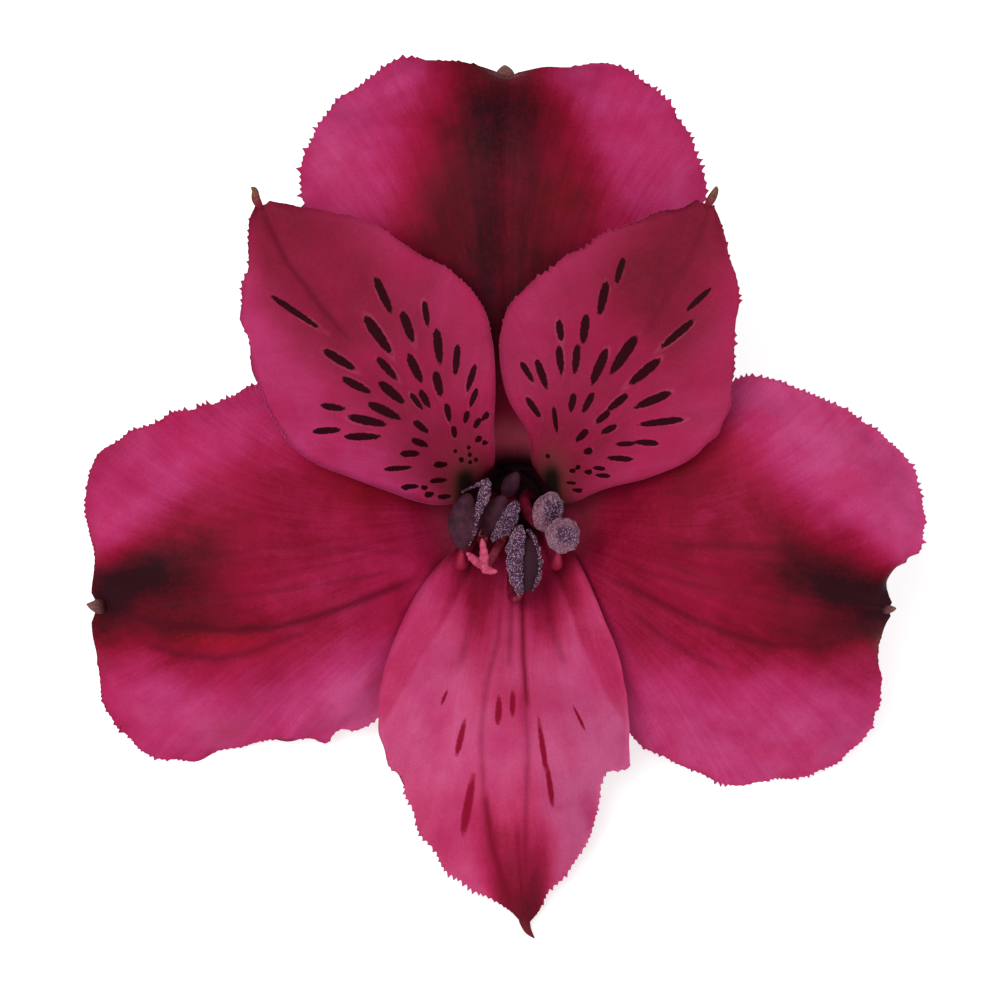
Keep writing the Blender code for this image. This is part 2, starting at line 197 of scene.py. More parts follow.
class Shell:
    """A mesh in the making: points and faces, with a number for each point in every named field."""

    def __init__(self) -> None:
        """Starts with nothing."""
        self.points: list = []
        self.faces: list = []
        self.fields: dict = {}
        self.count = 0

    def add(self, points: np.ndarray, **fields) -> np.ndarray:
        """Adds points.

        Args:
            points: The points, in any arrangement whose last axis is x, y and z.
            **fields: A number for each point, or one for all of them.

        Returns:
            The new points' numbers, in their arrangement.
        """
        flat = points.reshape(-1, 3)
        new = np.arange(self.count, self.count + len(flat)).reshape(points.shape[:-1])
        for name, values in fields.items():
            spread = np.broadcast_to(values, points.shape[:-1]).ravel()
            self.fields.setdefault(name, []).append((self.count, spread))
        self.points.append(flat)
        self.count += len(flat)
        return new

    def face(self, *corners) -> None:
        """Adds faces whose corners are given as one array of point numbers for each corner."""
        self.faces.append(np.stack([np.ravel(c) for c in corners], 1))

    def grid(self, numbers: np.ndarray, flip: bool = False) -> None:
        """Adds the quads of a grid of point numbers."""
        a, b, c, d = numbers[:-1, :-1], numbers[:-1, 1:], numbers[1:, 1:], numbers[1:, :-1]
        self.face(*((d, c, b, a) if flip else (a, b, c, d)))

    def strip(self, one: np.ndarray, other: np.ndarray, flip: bool = False) -> None:
        """Adds the quads between two rows of point numbers."""
        self.grid(np.stack((one, other)), flip)

    def ring(self, points: np.ndarray, **fields) -> np.ndarray:
        """Adds rows of points that run round; each row's numbers end with its first again."""
        made = self.add(points, **fields)
        return np.concatenate((made, made[..., :1]), -1)

    def fan(self, around: np.ndarray, centre: np.ndarray, flip: bool = False) -> None:
        """Adds the triangles between a closed row of point numbers and the one number in centre."""
        corners = (around[:-1], around[1:], np.full(len(around) - 1, centre[0]))
        self.face(*(corners[::-1] if flip else corners))

    def all_points(self) -> np.ndarray:
        """Every point, in order."""
        return np.concatenate(self.points)

    def field(self, name: str) -> np.ndarray:
        """A field's number at every point, 0 where none was given."""
        values = np.zeros(self.count)
        for start, part in self.fields.get(name, []):
            values[start:start + len(part)] = part
        return values

    def mesh(self, name: str, points: np.ndarray, fields: dict) -> bpy.types.Mesh:
        """Makes the mesh.

        Args:
            name: The mesh's name.
            points: Every point, where it goes in the mesh.
            fields: A number for each point, by the name of the attribute that holds it.

        Returns:
            The mesh, shaded smooth.
        """
        mesh = bpy.data.meshes.new(name)
        loops = np.concatenate([part.ravel() for part in self.faces]).astype(np.int32)
        sizes = np.concatenate([np.full(len(part), part.shape[1]) for part in self.faces])
        mesh.vertices.add(len(points))
        mesh.vertices.foreach_set("co", np.ascontiguousarray(points, np.float32).ravel())
        mesh.loops.add(len(loops))
        mesh.loops.foreach_set("vertex_index", loops)
        mesh.polygons.add(len(sizes))
        mesh.polygons.foreach_set("loop_start", np.concatenate(([0], np.cumsum(sizes)[:-1])).astype(np.int32))
        mesh.update(calc_edges=True)
        mesh.validate()
        for label, values in fields.items():
            set_field(mesh, label, values)
        mesh.shade_smooth()
        return mesh


def set_field(mesh: bpy.types.Mesh, name: str, values: np.ndarray) -> None:
    """Stores a number for each of a mesh's points."""
    made = mesh.attributes.new(name, "FLOAT", "POINT")
    made.data.foreach_set("value", np.ascontiguousarray(values, np.float32))


def new_piece(name: str, mesh: bpy.types.Mesh, material: bpy.types.Material) -> bpy.types.Object:
    """Puts a mesh in the scene in its material."""
    mesh.materials.clear()
    mesh.materials.append(material)
    piece = bpy.data.objects.new(name, mesh)
    bpy.context.scene.collection.objects.link(piece)
    return piece


def add_rod(shell: Shell, route, radii, sides: int, rings: int, blunt: float, flat: float = 1.0,
            **fields) -> None:
    """Adds a closed round-ended rod along a smooth route.

    Args:
        shell: What it is added to.
        route: The points that its middle line passes through.
        radii: Its radii, evenly spread along the route.
        sides: How many faces go round it.
        rings: How many rings of faces lie along it.
        blunt: How square its ends are; 2 makes an egg of a straight rod.
        flat: Its thickness, along the flower's axis, as a share of its width.
        **fields: A number for each field, for all of its points.
    """
    share = (1 - np.cos(np.pi * np.arange(rings + 1) / rings)) / 2
    middle = through(route, share)
    along = np.gradient(middle, axis=0)
    along /= np.linalg.norm(along, axis=1, keepdims=True)
    side = np.cross((0.0, 0.0, 1.0), along)
    side /= np.linalg.norm(side, axis=1, keepdims=True)
    up = np.cross(along, side)
    radius = through(radii, share) * np.sqrt(np.maximum(0, 1 - np.abs(2 * share - 1) ** blunt))
    turn = 2 * np.pi * np.arange(sides) / sides
    rim = (side[1:-1, None] * np.cos(turn)[:, None] + up[1:-1, None] * np.sin(turn)[:, None] * flat)
    closed = shell.ring(middle[1:-1, None] + rim * radius[1:-1, None, None], **fields)
    ends = shell.add(middle[[0, -1]], **fields)
    shell.grid(closed)
    shell.face(np.full(sides, ends[0]), closed[0, 1:], closed[0, :-1])
    shell.face(np.full(sides, ends[1]), closed[-1, :-1], closed[-1, 1:])


def fused(shells: Shell, voxel: float, smoothing: int) -> bpy.types.Mesh:
    """Melts overlapping closed shells into one skin.

    Args:
        shells: The shells, in millimetres.
        voxel: The skin's cell size, in millimetres.
        smoothing: How many times the skin is smoothed.

    Returns:
        The skin, in millimetres.
    """
    mesh = shells.mesh("loose shells", shells.all_points(), {})
    guide = bpy.data.objects.new("loose shells", mesh)
    bpy.context.scene.collection.objects.link(guide)
    melt = guide.modifiers.new("melt", "REMESH")
    melt.mode = "VOXEL"
    melt.voxel_size = voxel
    settle = guide.modifiers.new("settle", "SMOOTH")
    settle.factor = 0.5
    settle.iterations = smoothing
    bpy.context.view_layer.update()
    skin = bpy.data.meshes.new_from_object(guide.evaluated_get(bpy.context.evaluated_depsgraph_get()))
    bpy.data.objects.remove(guide)
    bpy.data.meshes.remove(mesh)
    return skin


def points_of(mesh: bpy.types.Mesh) -> np.ndarray:
    """A mesh's points."""
    places = np.empty(len(mesh.vertices) * 3, np.float32)
    mesh.vertices.foreach_get("co", places)
    return places.reshape(-1, 3).astype(float)


def normals_of(mesh: bpy.types.Mesh) -> np.ndarray:
    """A mesh's point normals."""
    normals = np.empty(len(mesh.vertices) * 3, np.float32)
    mesh.vertex_normals.foreach_get("vector", normals)
    return normals.reshape(-1, 3).astype(float)


def move_points(mesh: bpy.types.Mesh, points: np.ndarray) -> None:
    """Moves a mesh's points."""
    mesh.vertices.foreach_set("co", np.ascontiguousarray(points, np.float32).ravel())
    mesh.update()


# ---- Shader trees ----


def shade(red: float, green: float, blue: float) -> tuple:
    """A display colour, 0 to 255 a channel, as the linear colour that a shader takes."""
    linear = [c / 255 / 12.92 if c <= 10.31 else ((c / 255 + 0.055) / 1.055) ** 2.4
              for c in (red, green, blue)]
    return (*linear, 1.0)


class Wire:
    """A number that a shader works out at every place. Python's operators on it add Math nodes."""

    def __init__(self, tree: "ShaderTree", socket: bpy.types.NodeSocket) -> None:
        """Wraps a socket of a tree."""
        self.tree = tree
        self.socket = socket

    def math(self, operation: str, *values) -> "Wire":
        """Adds a Math node on these values."""
        return self.tree.node("ShaderNodeMath", {"operation": operation}, dict(enumerate(values)))["Value"]

    def __add__(self, other) -> "Wire":
        """The sum."""
        return self.math("ADD", self, other)

    __radd__ = __add__

    def __sub__(self, other) -> "Wire":
        """The difference."""
        return self.math("SUBTRACT", self, other)

    def __rsub__(self, other) -> "Wire":
        """The difference, taken from a number."""
        return self.math("SUBTRACT", other, self)

    def __mul__(self, other) -> "Wire":
        """The product."""
        return self.math("MULTIPLY", self, other)

    __rmul__ = __mul__

    def rise(self, low: float, high: float) -> "Wire":
        """A smooth step from 0 at low to 1 at high; low may be the higher of the two."""
        flip = low > high
        made = self.tree.node(
            "ShaderNodeMapRange", {"interpolation_type": "SMOOTHSTEP"},
            {"Value": self, "From Min": min(low, high), "From Max": max(low, high)})["Result"]
        return 1 - made if flip else made


class Outputs:
    """A node's outputs, by name."""

    def __init__(self, tree: "ShaderTree", node: bpy.types.Node) -> None:
        """Keeps the node and its tree."""
        self.tree = tree
        self.node = node

    def __getitem__(self, name) -> Wire:
        """The output of that name or number."""
        return Wire(self.tree, self.node.outputs[name])


class ShaderTree:
    """A material under construction, with one method that adds any node."""

    def __init__(self, name: str) -> None:
        """Makes the material, whose Principled shader and output are already there."""
        self.material = bpy.data.materials.new(name)
        self.material.use_nodes = True
        self.tree = self.material.node_tree
        self.shader = self.tree.nodes["Principled BSDF"]
        self.output = self.tree.nodes["Material Output"]

    def node(self, kind: str, settings: dict | None = None, inputs: dict | None = None) -> Outputs:
        """Adds a node.

        Args:
            kind: Its type.
            settings: Its properties, which are set first. stops holds a ramp's positions and colours.
            inputs: The value or Wire of each socket, by name or number.

        Returns:
            The node's outputs.
        """
        made = self.tree.nodes.new(kind)
        for name, value in (settings or {}).items():
            if name == "stops":
                self.set_stops(made.color_ramp, value)
            else:
                setattr(made, name, value)
        for name, value in (inputs or {}).items():
            self.feed(made.inputs[name], value)
        return Outputs(self, made)

    def feed(self, socket: bpy.types.NodeSocket, value) -> None:
        """Links a Wire to a socket, or sets its value."""
        if isinstance(value, Wire):
            self.tree.links.new(value.socket, socket)
        else:
            socket.default_value = value

    @staticmethod
    def set_stops(ramp: bpy.types.ColorRamp, stops) -> None:
        """Gives a ramp its stops, each a position and a colour."""
        for _ in range(len(stops) - len(ramp.elements)):
            ramp.elements.new(0.5)
        for element, (position, colour) in zip(ramp.elements, stops):
            element.position = position
            element.color = colour

    def field(self, name: str) -> Wire:
        """The number that the mesh stores under this name."""
        return self.node("ShaderNodeAttribute", {"attribute_name": name})["Fac"]

    def ramp(self, value: Wire, stops) -> Wire:
        """The colour that a ramp gives a number."""
        return self.node("ShaderNodeValToRGB", {"stops": stops}, {"Fac": value})["Color"]

    def mix(self, share, one, other, blend: str = "MIX") -> Wire:
        """Mixes two colours."""
        return self.node("ShaderNodeMix", {"data_type": "RGBA", "blend_type": blend},
                         {0: share, 6: one, 7: other})[2]

    def places(self, scale: float) -> Wire:
        """The place on the object, in millimetres times scale."""
        spot = self.node("ShaderNodeTexCoord")["Object"]
        inputs = {0: spot, "Scale": scale / MM}
        return self.node("ShaderNodeVectorMath", {"operation": "SCALE"}, inputs)["Vector"]

    def triple(self, x, y, z=0.0) -> Wire:
        """Three numbers as a vector."""
        return self.node("ShaderNodeCombineXYZ", None, {"X": x, "Y": y, "Z": z})["Vector"]

    def noise(self, vector: Wire, detail: float, roughness: float) -> Wire:
        """Smooth noise round 0.5."""
        return self.node("ShaderNodeTexNoise", None, {"Vector": vector, "Scale": 1.0, "Detail": detail,
                                                      "Roughness": roughness})["Fac"]

    def speckle(self, scale: float, detail: float = 2.0, roughness: float = 0.5) -> Wire:
        """Smooth noise round 0.5 that lies on the object, with scale waves to a millimetre."""
        return self.noise(self.places(scale), detail, roughness)

    def bump(self, height: Wire, depth_mm: float, strength: float = 1.0) -> Wire:
        """The normal of a surface raised by height times depth."""
        return self.node("ShaderNodeBump", None, {"Height": height, "Distance": depth_mm * MM,
                                                  "Strength": strength})["Normal"]

    def finish(self, colour, roughness, normal=None, **constants) -> bpy.types.Material:
        """Feeds the Principled shader.

        Args:
            colour: Its base colour.
            roughness: Its roughness.
            normal: Its normal, if it is bumped.
            **constants: Other sockets' values, with _ for each space of their names.

        Returns:
            The finished material.
        """
        self.feed(self.shader.inputs["Base Color"], colour)
        self.feed(self.shader.inputs["Roughness"], roughness)
        if normal is not None:
            self.feed(self.shader.inputs["Normal"], normal)
        for name, value in constants.items():
            self.shader.inputs[name.replace("_", " ")].default_value = value
        return self.material


# ---- Finishes ----


@dataclass(frozen=True)
class TepalFinish:
    """How a whorl of tepals is coloured: its tones from palest to darkest, and its marks."""

    tones: tuple
    fleck: tuple
    line: tuple
    back: tuple = (shade(208, 108, 148), shade(164, 54, 88))
    back_rib: tuple = shade(104, 92, 52)
    # Painted shade: hollow is the colour the faces take deep in the throat.
    hollow: tuple = shade(84, 28, 45)
    pit: tuple = shade(34, 26, 22)
    # The olive flush above an inner tepal's pit; on an outer tepal, painted light that lifts the claw deep in
    # the throat.
    olive: tuple = shade(128, 64, 60)
    # A deep red for patches; beside the overlapping inner tepals it is partly painted shade.
    ember: tuple = shade(170, 24, 36)
    blush: tuple = shade(184, 24, 76)
    horn: tuple = (shade(150, 104, 78), shade(92, 58, 46))
    streak: float = 0.3
    veins: float = 5.0
    fleck_edge: tuple = (-0.1, 0.2)
    halo: tuple = shade(208, 100, 136)
    roughness: float = 0.52

    def material(self, name: str) -> bpy.types.Material:
        """Makes the material, which reads the fields that Tepal stores on its mesh.

        Args:
            name: The material's name.

        Returns:
            The material.
        """
        tree = ShaderTree(name)
        vein, along, given = tree.field("vein"), tree.field("along"), tree.field("tone")
        fine = tree.noise(tree.triple(vein * self.veins * 4, along * 7), 6.0, 0.8)
        broad = tree.noise(tree.triple(vein * self.veins, along * 3, 4.0), 4.0, 0.7)
        mottle = tree.speckle(0.33)
        grain = tree.speckle(7.0, 2.0, 0.6)
        dust = tree.speckle(11.0, 1.0, 0.5)
        speck = tree.speckle(2.4, 4.0, 0.75)
        unevenness = ((fine - 0.5) * self.streak + (broad - 0.5) * (self.streak * 1.4) + (mottle - 0.5) * 0.3
                      + (dust - 0.5) * 0.14 + (speck - 0.5) * (given * 0.4))
        colour = tree.ramp(given + unevenness, self.tones)
        patch = tree.speckle(0.2, 3.0, 0.6).rise(0.4, 0.68)
        colour = tree.mix(patch * (0.54 - given * 0.54), colour, self.blush)
        colour = tree.mix(tree.field("ember") * speck.rise(0.34, 0.62), colour, self.ember)
        # The olive above the pit, or the painted light on an outer tepal's claw.
        colour = tree.mix(tree.field("olive"), colour, self.olive)
        # Veins, and the painted shade along folds, drawn as dark lines.
        line = tree.field("ink") * (0.95 + (fine - 0.5) * 0.5)
        colour = tree.mix(line, colour, self.line)
        ragged = tree.speckle(3.2, 2.0, 0.6)
        near = tree.field("fleck").rise(-1.4, -0.3) * broad.rise(0.5, 0.66) * 0.18
        colour = tree.mix(near, colour, self.halo)
        fleck = (tree.field("fleck") + (ragged - 0.5) * 0.9 + (grain - 0.5) * 0.6).rise(*self.fleck_edge)
        colour = tree.mix(fleck, colour, self.fleck)
        colour = tree.mix(tree.field("pit").rise(0.05, 0.95), colour, self.pit)
        # Painted shade deep in the throat.
        colour = tree.mix(tree.field("hollow"), colour, self.hollow)
        horn = tree.mix(grain.rise(0.35, 0.65), *self.horn)
        colour = tree.mix(tree.field("horn"), colour, horn)
        behind = tree.mix((given * 0.7 + unevenness * 1.4).rise(0.0, 0.7), *self.back)
        behind = tree.mix(tree.field("rib"), behind, self.back_rib)
        behind = tree.mix(tree.field("horn"), behind, horn)
        colour = tree.mix(tree.field("back"), colour, behind)
        shimmer = 1.0 + (grain - 0.5) * 0.42 + (fine - 0.5) * 0.16
        colour = tree.mix(1.0, colour, tree.triple(shimmer, shimmer, shimmer), "MULTIPLY")
        relief = fine * 0.6 + grain * 0.5 + broad * 0.5
        return tree.finish(colour, self.roughness + (grain - 0.5) * 0.2, tree.bump(relief, 0.05, 0.55),
                           Specular_IOR_Level=0.05)


@dataclass(frozen=True)
class FleshFinish:
    """A soft smooth organ, such as a filament or the style, that goes from one colour to another."""

    foot: tuple
    tip: tuple
    freckle: tuple
    roughness: float = 0.4
    grain: float = 4.0

    def material(self, name: str) -> bpy.types.Material:
        """Makes the material, which blends by the field rise from foot to tip.

        Args:
            name: The material's name.

        Returns:
            The material.
        """
        tree = ShaderTree(name)
        grain = tree.speckle(self.grain, 3.0, 0.6)
        coarse = tree.speckle(self.grain * 0.3)
        colour = tree.mix((tree.field("rise") + (coarse - 0.5) * 0.5).rise(0.0, 1.0), self.foot, self.tip)
        colour = tree.mix((grain + (coarse - 0.5) * 0.5).rise(0.55, 0.78) * 0.55, colour, self.freckle)
        return tree.finish(colour, self.roughness + (grain - 0.5) * 0.25,
                           tree.bump(grain + coarse, 0.05, 0.5), Specular_IOR_Level=0.2)


@dataclass(frozen=True)
class AntherFinish:
    """An opened anther: smooth plum walls, and the violet bed that the pollen lies on."""

    wall: tuple = shade(82, 40, 56)
    shadow: tuple = shade(54, 24, 38)
    bed: tuple = (shade(48, 26, 52), shade(92, 54, 76))
    rim: tuple = shade(150, 100, 118)

    def material(self, name: str) -> bpy.types.Material:
        """Makes the material, which reads the fields pollen and pale, and the field of painted shade on an
        anther's split and on an anther deep in the throat.

        Args:
            name: The material's name.

        Returns:
            The material.
        """
        tree = ShaderTree(name)
        grain = tree.speckle(9.0, 3.0, 0.65)
        coarse = tree.speckle(1.3)
        wall = tree.mix((coarse + (grain - 0.5) * 0.4).rise(0.25, 0.75), self.shadow, self.wall)
        bed = tree.mix((grain + (coarse - 0.5) * 0.5).rise(0.3, 0.7), *self.bed)
        bed = tree.mix(tree.field("pale") * 0.7, bed, self.rim)
        colour = tree.mix(tree.field("pollen").rise(0.2, 0.7), wall, bed)
        # Painted shade on the split of an opened anther, and on an anther deep in the throat.
        colour = tree.mix(tree.field("slit"), colour, self.shadow)
        bumped = tree.bump(grain * 0.7 + coarse * 0.4, 0.06, 0.6)
        return tree.finish(colour, 0.62 + (grain - 0.5) * 0.3, bumped, Specular_IOR_Level=0.12)


@dataclass(frozen=True)
class PollenFinish:
    """Dry grains of pollen, each its own tint."""

    tints: tuple = ((0.0, shade(58, 32, 66)), (0.3, shade(98, 64, 104)), (0.62, shade(154, 120, 148)),
                    (0.96, shade(200, 168, 186)), (1.0, shade(202, 170, 140)))
    pale: tuple = shade(196, 144, 162)

    def material(self, name: str) -> bpy.types.Material:
        """Makes the material, which reads each grain's fields tint and pale.

        Args:
            name: The material's name.

        Returns:
            The material.
        """
        tree = ShaderTree(name)
        grain = tree.speckle(14.0)
        colour = tree.ramp(tree.field("tint") + (grain - 0.5) * 0.12, self.tints)
        colour = tree.mix(tree.field("pale") * 0.7, colour, self.pale)
        return tree.finish(colour, 0.72 + (grain - 0.5) * 0.2, tree.bump(grain, 0.02, 0.4),
                           Specular_IOR_Level=0.15)


@dataclass(frozen=True)
class GreenFinish:
    """The green of the ovary and the stalk, with a red flush, and painted shade on the ovary's top in the
    throat.
    """

    hollow: tuple = shade(98, 112, 52)
    crest: tuple = shade(132, 144, 78)
    flush: tuple = shade(136, 66, 62)
    flesh: tuple = shade(176, 186, 128)
    # Painted shade: the ovary's top, deep in the throat, is drawn dark.
    seat: tuple = shade(46, 16, 25)

    def material(self, name: str) -> bpy.types.Material:
        """Makes the material, which reads the fields crest, flush, cut and hollow, the last for painted shade
        on the top.

        Args:
            name: The material's name.

        Returns:
            The material.
        """
        tree = ShaderTree(name)
        grain = tree.speckle(5.0, 3.0, 0.6)
        blotch = tree.speckle(0.9)
        colour = tree.mix((tree.field("crest") + (grain - 0.5) * 0.5).rise(0.1, 0.9), self.hollow, self.crest)
        flush = (tree.field("flush") + (blotch - 0.5) * 0.9 + (grain - 0.5) * 0.3).rise(0.25, 0.95)
        colour = tree.mix(flush, colour, self.flush)
        ring = tree.speckle(2.6, 2.0, 0.6)
        flesh = tree.mix(ring.rise(0.35, 0.65), self.flesh, self.crest)
        colour = tree.mix(tree.field("cut"), colour, flesh)
        # Painted shade on the ovary's top, deep in the throat.
        colour = tree.mix(tree.field("hollow"), colour, self.seat)
        return tree.finish(colour, 0.5 + (grain - 0.5) * 0.2, tree.bump(grain + blotch, 0.06, 0.6),
                           Specular_IOR_Level=0.05)


# On the outer tepals the olive colour is painted light: a bright pink that lifts the claws deep in the throat.
OUTER_FINISH = TepalFinish(
    horn=(shade(156, 112, 108), shade(112, 62, 62)), olive=shade(220, 92, 118), streak=0.2,
    tones=((0.0, shade(204, 78, 134)), (0.2, shade(190, 52, 110)), (0.4, shade(162, 28, 70)),
           (0.55, shade(137, 14, 44)), (0.7, shade(108, 13, 31)), (0.85, shade(77, 13, 24)),
           (1.0, shade(46, 11, 20))),
    fleck=shade(58, 8, 22), line=shade(84, 10, 30))
INNER_FINISH = TepalFinish(
    tones=((0.0, shade(194, 58, 116)), (0.25, shade(170, 44, 88)), (0.5, shade(146, 34, 66)),
           (0.7, shade(130, 26, 52)), (0.85, shade(114, 24, 44)), (1.0, shade(98, 20, 40))),
    fleck=shade(46, 3, 14), line=shade(98, 16, 40), streak=0.2, blush=shade(178, 22, 74))
LOWER_FINISH = TepalFinish(
    tones=((0.0, shade(212, 94, 144)), (0.2, shade(204, 72, 120)), (0.4, shade(190, 48, 94)),
           (0.6, shade(158, 27, 61)), (0.8, shade(128, 20, 45)), (1.0, shade(100, 18, 36))),
    fleck=shade(146, 14, 48), line=shade(122, 6, 34), streak=0.22, veins=1.6, blush=shade(188, 34, 100),
    fleck_edge=(-0.5, 0.6), horn=(shade(128, 26, 46), shade(104, 44, 46)))
FILAMENT_FINISH = FleshFinish(foot=shade(88, 14, 28), tip=shade(160, 32, 68), freckle=shade(180, 60, 96))
STYLE_FINISH = FleshFinish(foot=shade(150, 30, 58), tip=shade(202, 76, 112), freckle=shade(234, 144, 164))
ANTHER_FINISH = AntherFinish()
POLLEN_FINISH = PollenFinish()
GREEN_FINISH = GreenFinish()


# ---- Tepals ----


@dataclass(frozen=True)
class BandSide:
    """One side of the dark band along a midrib: how wide its full tone is and how far it fades, in mm.

    Both are given at places evenly spread along the midrib, from foot to tip.
    """

    core: tuple
    reach: tuple


@dataclass(frozen=True)
class Stroke:
    """A vein, or a fold with painted shade along it, that shows as a dark line on the face."""

    line: tuple
    width: float
    strength: float = 0.8
    fold: float = 0.05


@dataclass(frozen=True)
class Fleck:
    """A dash on the face that tapers to both ends."""

    far: tuple
    near: tuple
    width: float


@dataclass(frozen=True)
class Nick:
    """A notch in a margin, or a bump where depth is below 0."""

    at: tuple
    depth: float
    width: float


@dataclass
class Tepal:
    """One tepal: its three ribs, its margin, its relief and its markings.

    midrib, left and right run from foot to tip, and both margins end where the midrib does. fringe and tooth
    are the depth and spacing of the teeth, and lap is how far in the margin is moved, out if it is below 0.
    blotch and ember are soft patches: blotch darkens the face, or lightens it where depth is below 0,
    and ember reddens it. Some are the tepal's own marks, and some are painted: shade beside the tepals that
    overlap it, and light over a neighbour's shadow. flush is how strongly painted light lifts an outer
    tepal's claw deep in the throat. The face is darker to the left of each line of under, as painted shade
    where a side tepal lies behind the thin lower tepal. aim is the point that the spots fan out from, and
    the direction of their middle.
    """

    name: str
    angle: float
    ring: float
    foot_half_angle: float
    midrib: tuple
    left: tuple
    right: tuple
    finish: TepalFinish
    band: tuple
    midrib_tone: tuple
    lobe_tone: tuple
    rows: int = 190
    columns: int = 120
    fan: float = 2.5
    fringe: float = 0.8
    tooth: float = 0.62
    tooth_least: float = 0.5
    # How strongly painted light lifts an outer tepal's claw deep in the throat.
    flush: float = 0.0
    lap: float = -0.3
    fringe_from: float = 0.3
    fringe_to: float = 0.9
    ruffle: float = 0.25
    groove: float = 0.18
    blade_end: float = 0.975
    pinch: float = 0.0
    horn: tuple = ()
    horn_radii: tuple = (0.3, 0.36, 0.26, 0.13)
    rim: float = 0.0
    blotch: tuple = ()
    ember: tuple = ()
    seed: int = 1
    strokes: tuple = ()
    flecks: tuple = ()
    spots: tuple = ()
    aim: tuple = (0.0, 0.0, 90.0)
    nicks: tuple = ()
    pit: tuple = ()
    # Lines left of which painted shade darkens the face, where a side tepal lies behind the thin lower tepal.
    under: tuple = ()

    THICKNESS = 0.34
    RIM_THICKNESS = 0.1
    FRINGE_BAND = 0.55
    FRINGE_STEPS = 4
    CLAW_LAP = 0.14
    SHOW_THROUGH_SHADE = 0.24
    AIM_SPREAD = 1.45
    AIM_LIMIT = 70.0
    WAVE_LENGTH = 7.0
    CRINKLE_LENGTH = 2.4
    SWELL_LENGTH = 11.0
    SWELL = 0.16
    NICK_REACH = 3.0
    # Between these heights the faces fade into painted shade, deepest lowest in the throat.
    THROAT_SHADE_HEIGHTS = (9.6, 2.6)

    def lines(self, along: np.ndarray) -> tuple:
        """The left margin, the midrib and the right margin at these shares of the way to the tip."""
        feet = [on_ring(self.ring, self.angle + turn * self.foot_half_angle) for turn in (1, 0, -1)]
        lead = along * (1 + MIDRIB_LEAD * (1 - along) ** 2)
        tip = self.midrib[-1]
        return (through((feet[0], *self.left, tip), along), through((feet[1], *self.midrib), lead),
                through((feet[2], *self.right, tip), along))

    def sheet(self, along: np.ndarray, across: np.ndarray) -> tuple:
        """The middle surface with its relief.

        Args:
            along: Shares of the way from foot to tip, one for each row.
            across: Shares of the way from midrib to margin, below 0 on the left, in rows and columns.

        Returns:
            The surface's points and its outward normals, in rows and columns.
        """
        on_left, on_midrib, on_right = (line[:, None] for line in self.lines(along))
        v = across[..., None]
        flat = on_left * v * (v - 1) / 2 + on_midrib * (1 - v**2) + on_right * v * (v + 1) / 2
        normals = np.cross(np.gradient(flat, axis=1), np.gradient(flat, axis=0))
        normals /= np.linalg.norm(normals, axis=-1, keepdims=True) + 1e-12
        wide = np.linalg.norm(on_right - on_left, axis=-1) / 2
        height = self.relief(along[:, None], across, flat, wide)
        shaped = flat + normals * height[..., None]
        normals = np.cross(np.gradient(shaped, axis=1), np.gradient(shaped, axis=0))
        normals /= np.linalg.norm(normals, axis=-1, keepdims=True) + 1e-12
        return shaped, normals

    def relief(self, along: np.ndarray, across: np.ndarray, flat: np.ndarray, wide: np.ndarray) -> np.ndarray:
        """How far the surface is raised from its smooth loft, in millimetres."""
        blade = ease(0.22, 0.42, along) * ease(1.0, 0.93, along)
        waves = Ripple(self.seed, self.WAVE_LENGTH).at(flat) * np.abs(across) ** 2.2
        crinkle = Ripple(self.seed + 50, self.CRINKLE_LENGTH).at(flat) * np.abs(across) ** 4
        swell = Ripple(self.seed + 90, self.SWELL_LENGTH).at(flat) * self.SWELL
        half = np.abs(across) * wide
        groove = (-self.groove * np.exp(-((half / 0.8) ** 2))
                  + 0.5 * self.groove * np.exp(-((half / 2.4 - 0.8) ** 2) * 3))
        height = blade * (self.ruffle * (waves + 0.3 * crinkle) + swell) + groove * ease(0.12, 0.3, along)
        seen = on_face(flat).reshape(-1, 2)
        for stroke in self.strokes:
            share, apart = from_line(seen, stroke.line)
            fold = ease(0.0, 0.2, share) * ease(1.0, 0.8, share)
            fold = fold * np.exp(-((apart / (1.3 * stroke.width)) ** 2))
            height = height - stroke.fold * fold.reshape(height.shape)
        return height

    def thickness(self, along: np.ndarray, across: np.ndarray) -> np.ndarray:
        """The tepal's thickness, thin at the margin and thicker in the claw and over the midrib."""
        claw = 1 + 0.35 * ease(0.3, 0.05, along)
        rib = 1 + 0.35 * np.exp(-((across / 0.07) ** 2))
        full = self.THICKNESS * claw * rib
        return self.RIM_THICKNESS + (full - self.RIM_THICKNESS) * (1 - np.abs(across) ** 5)

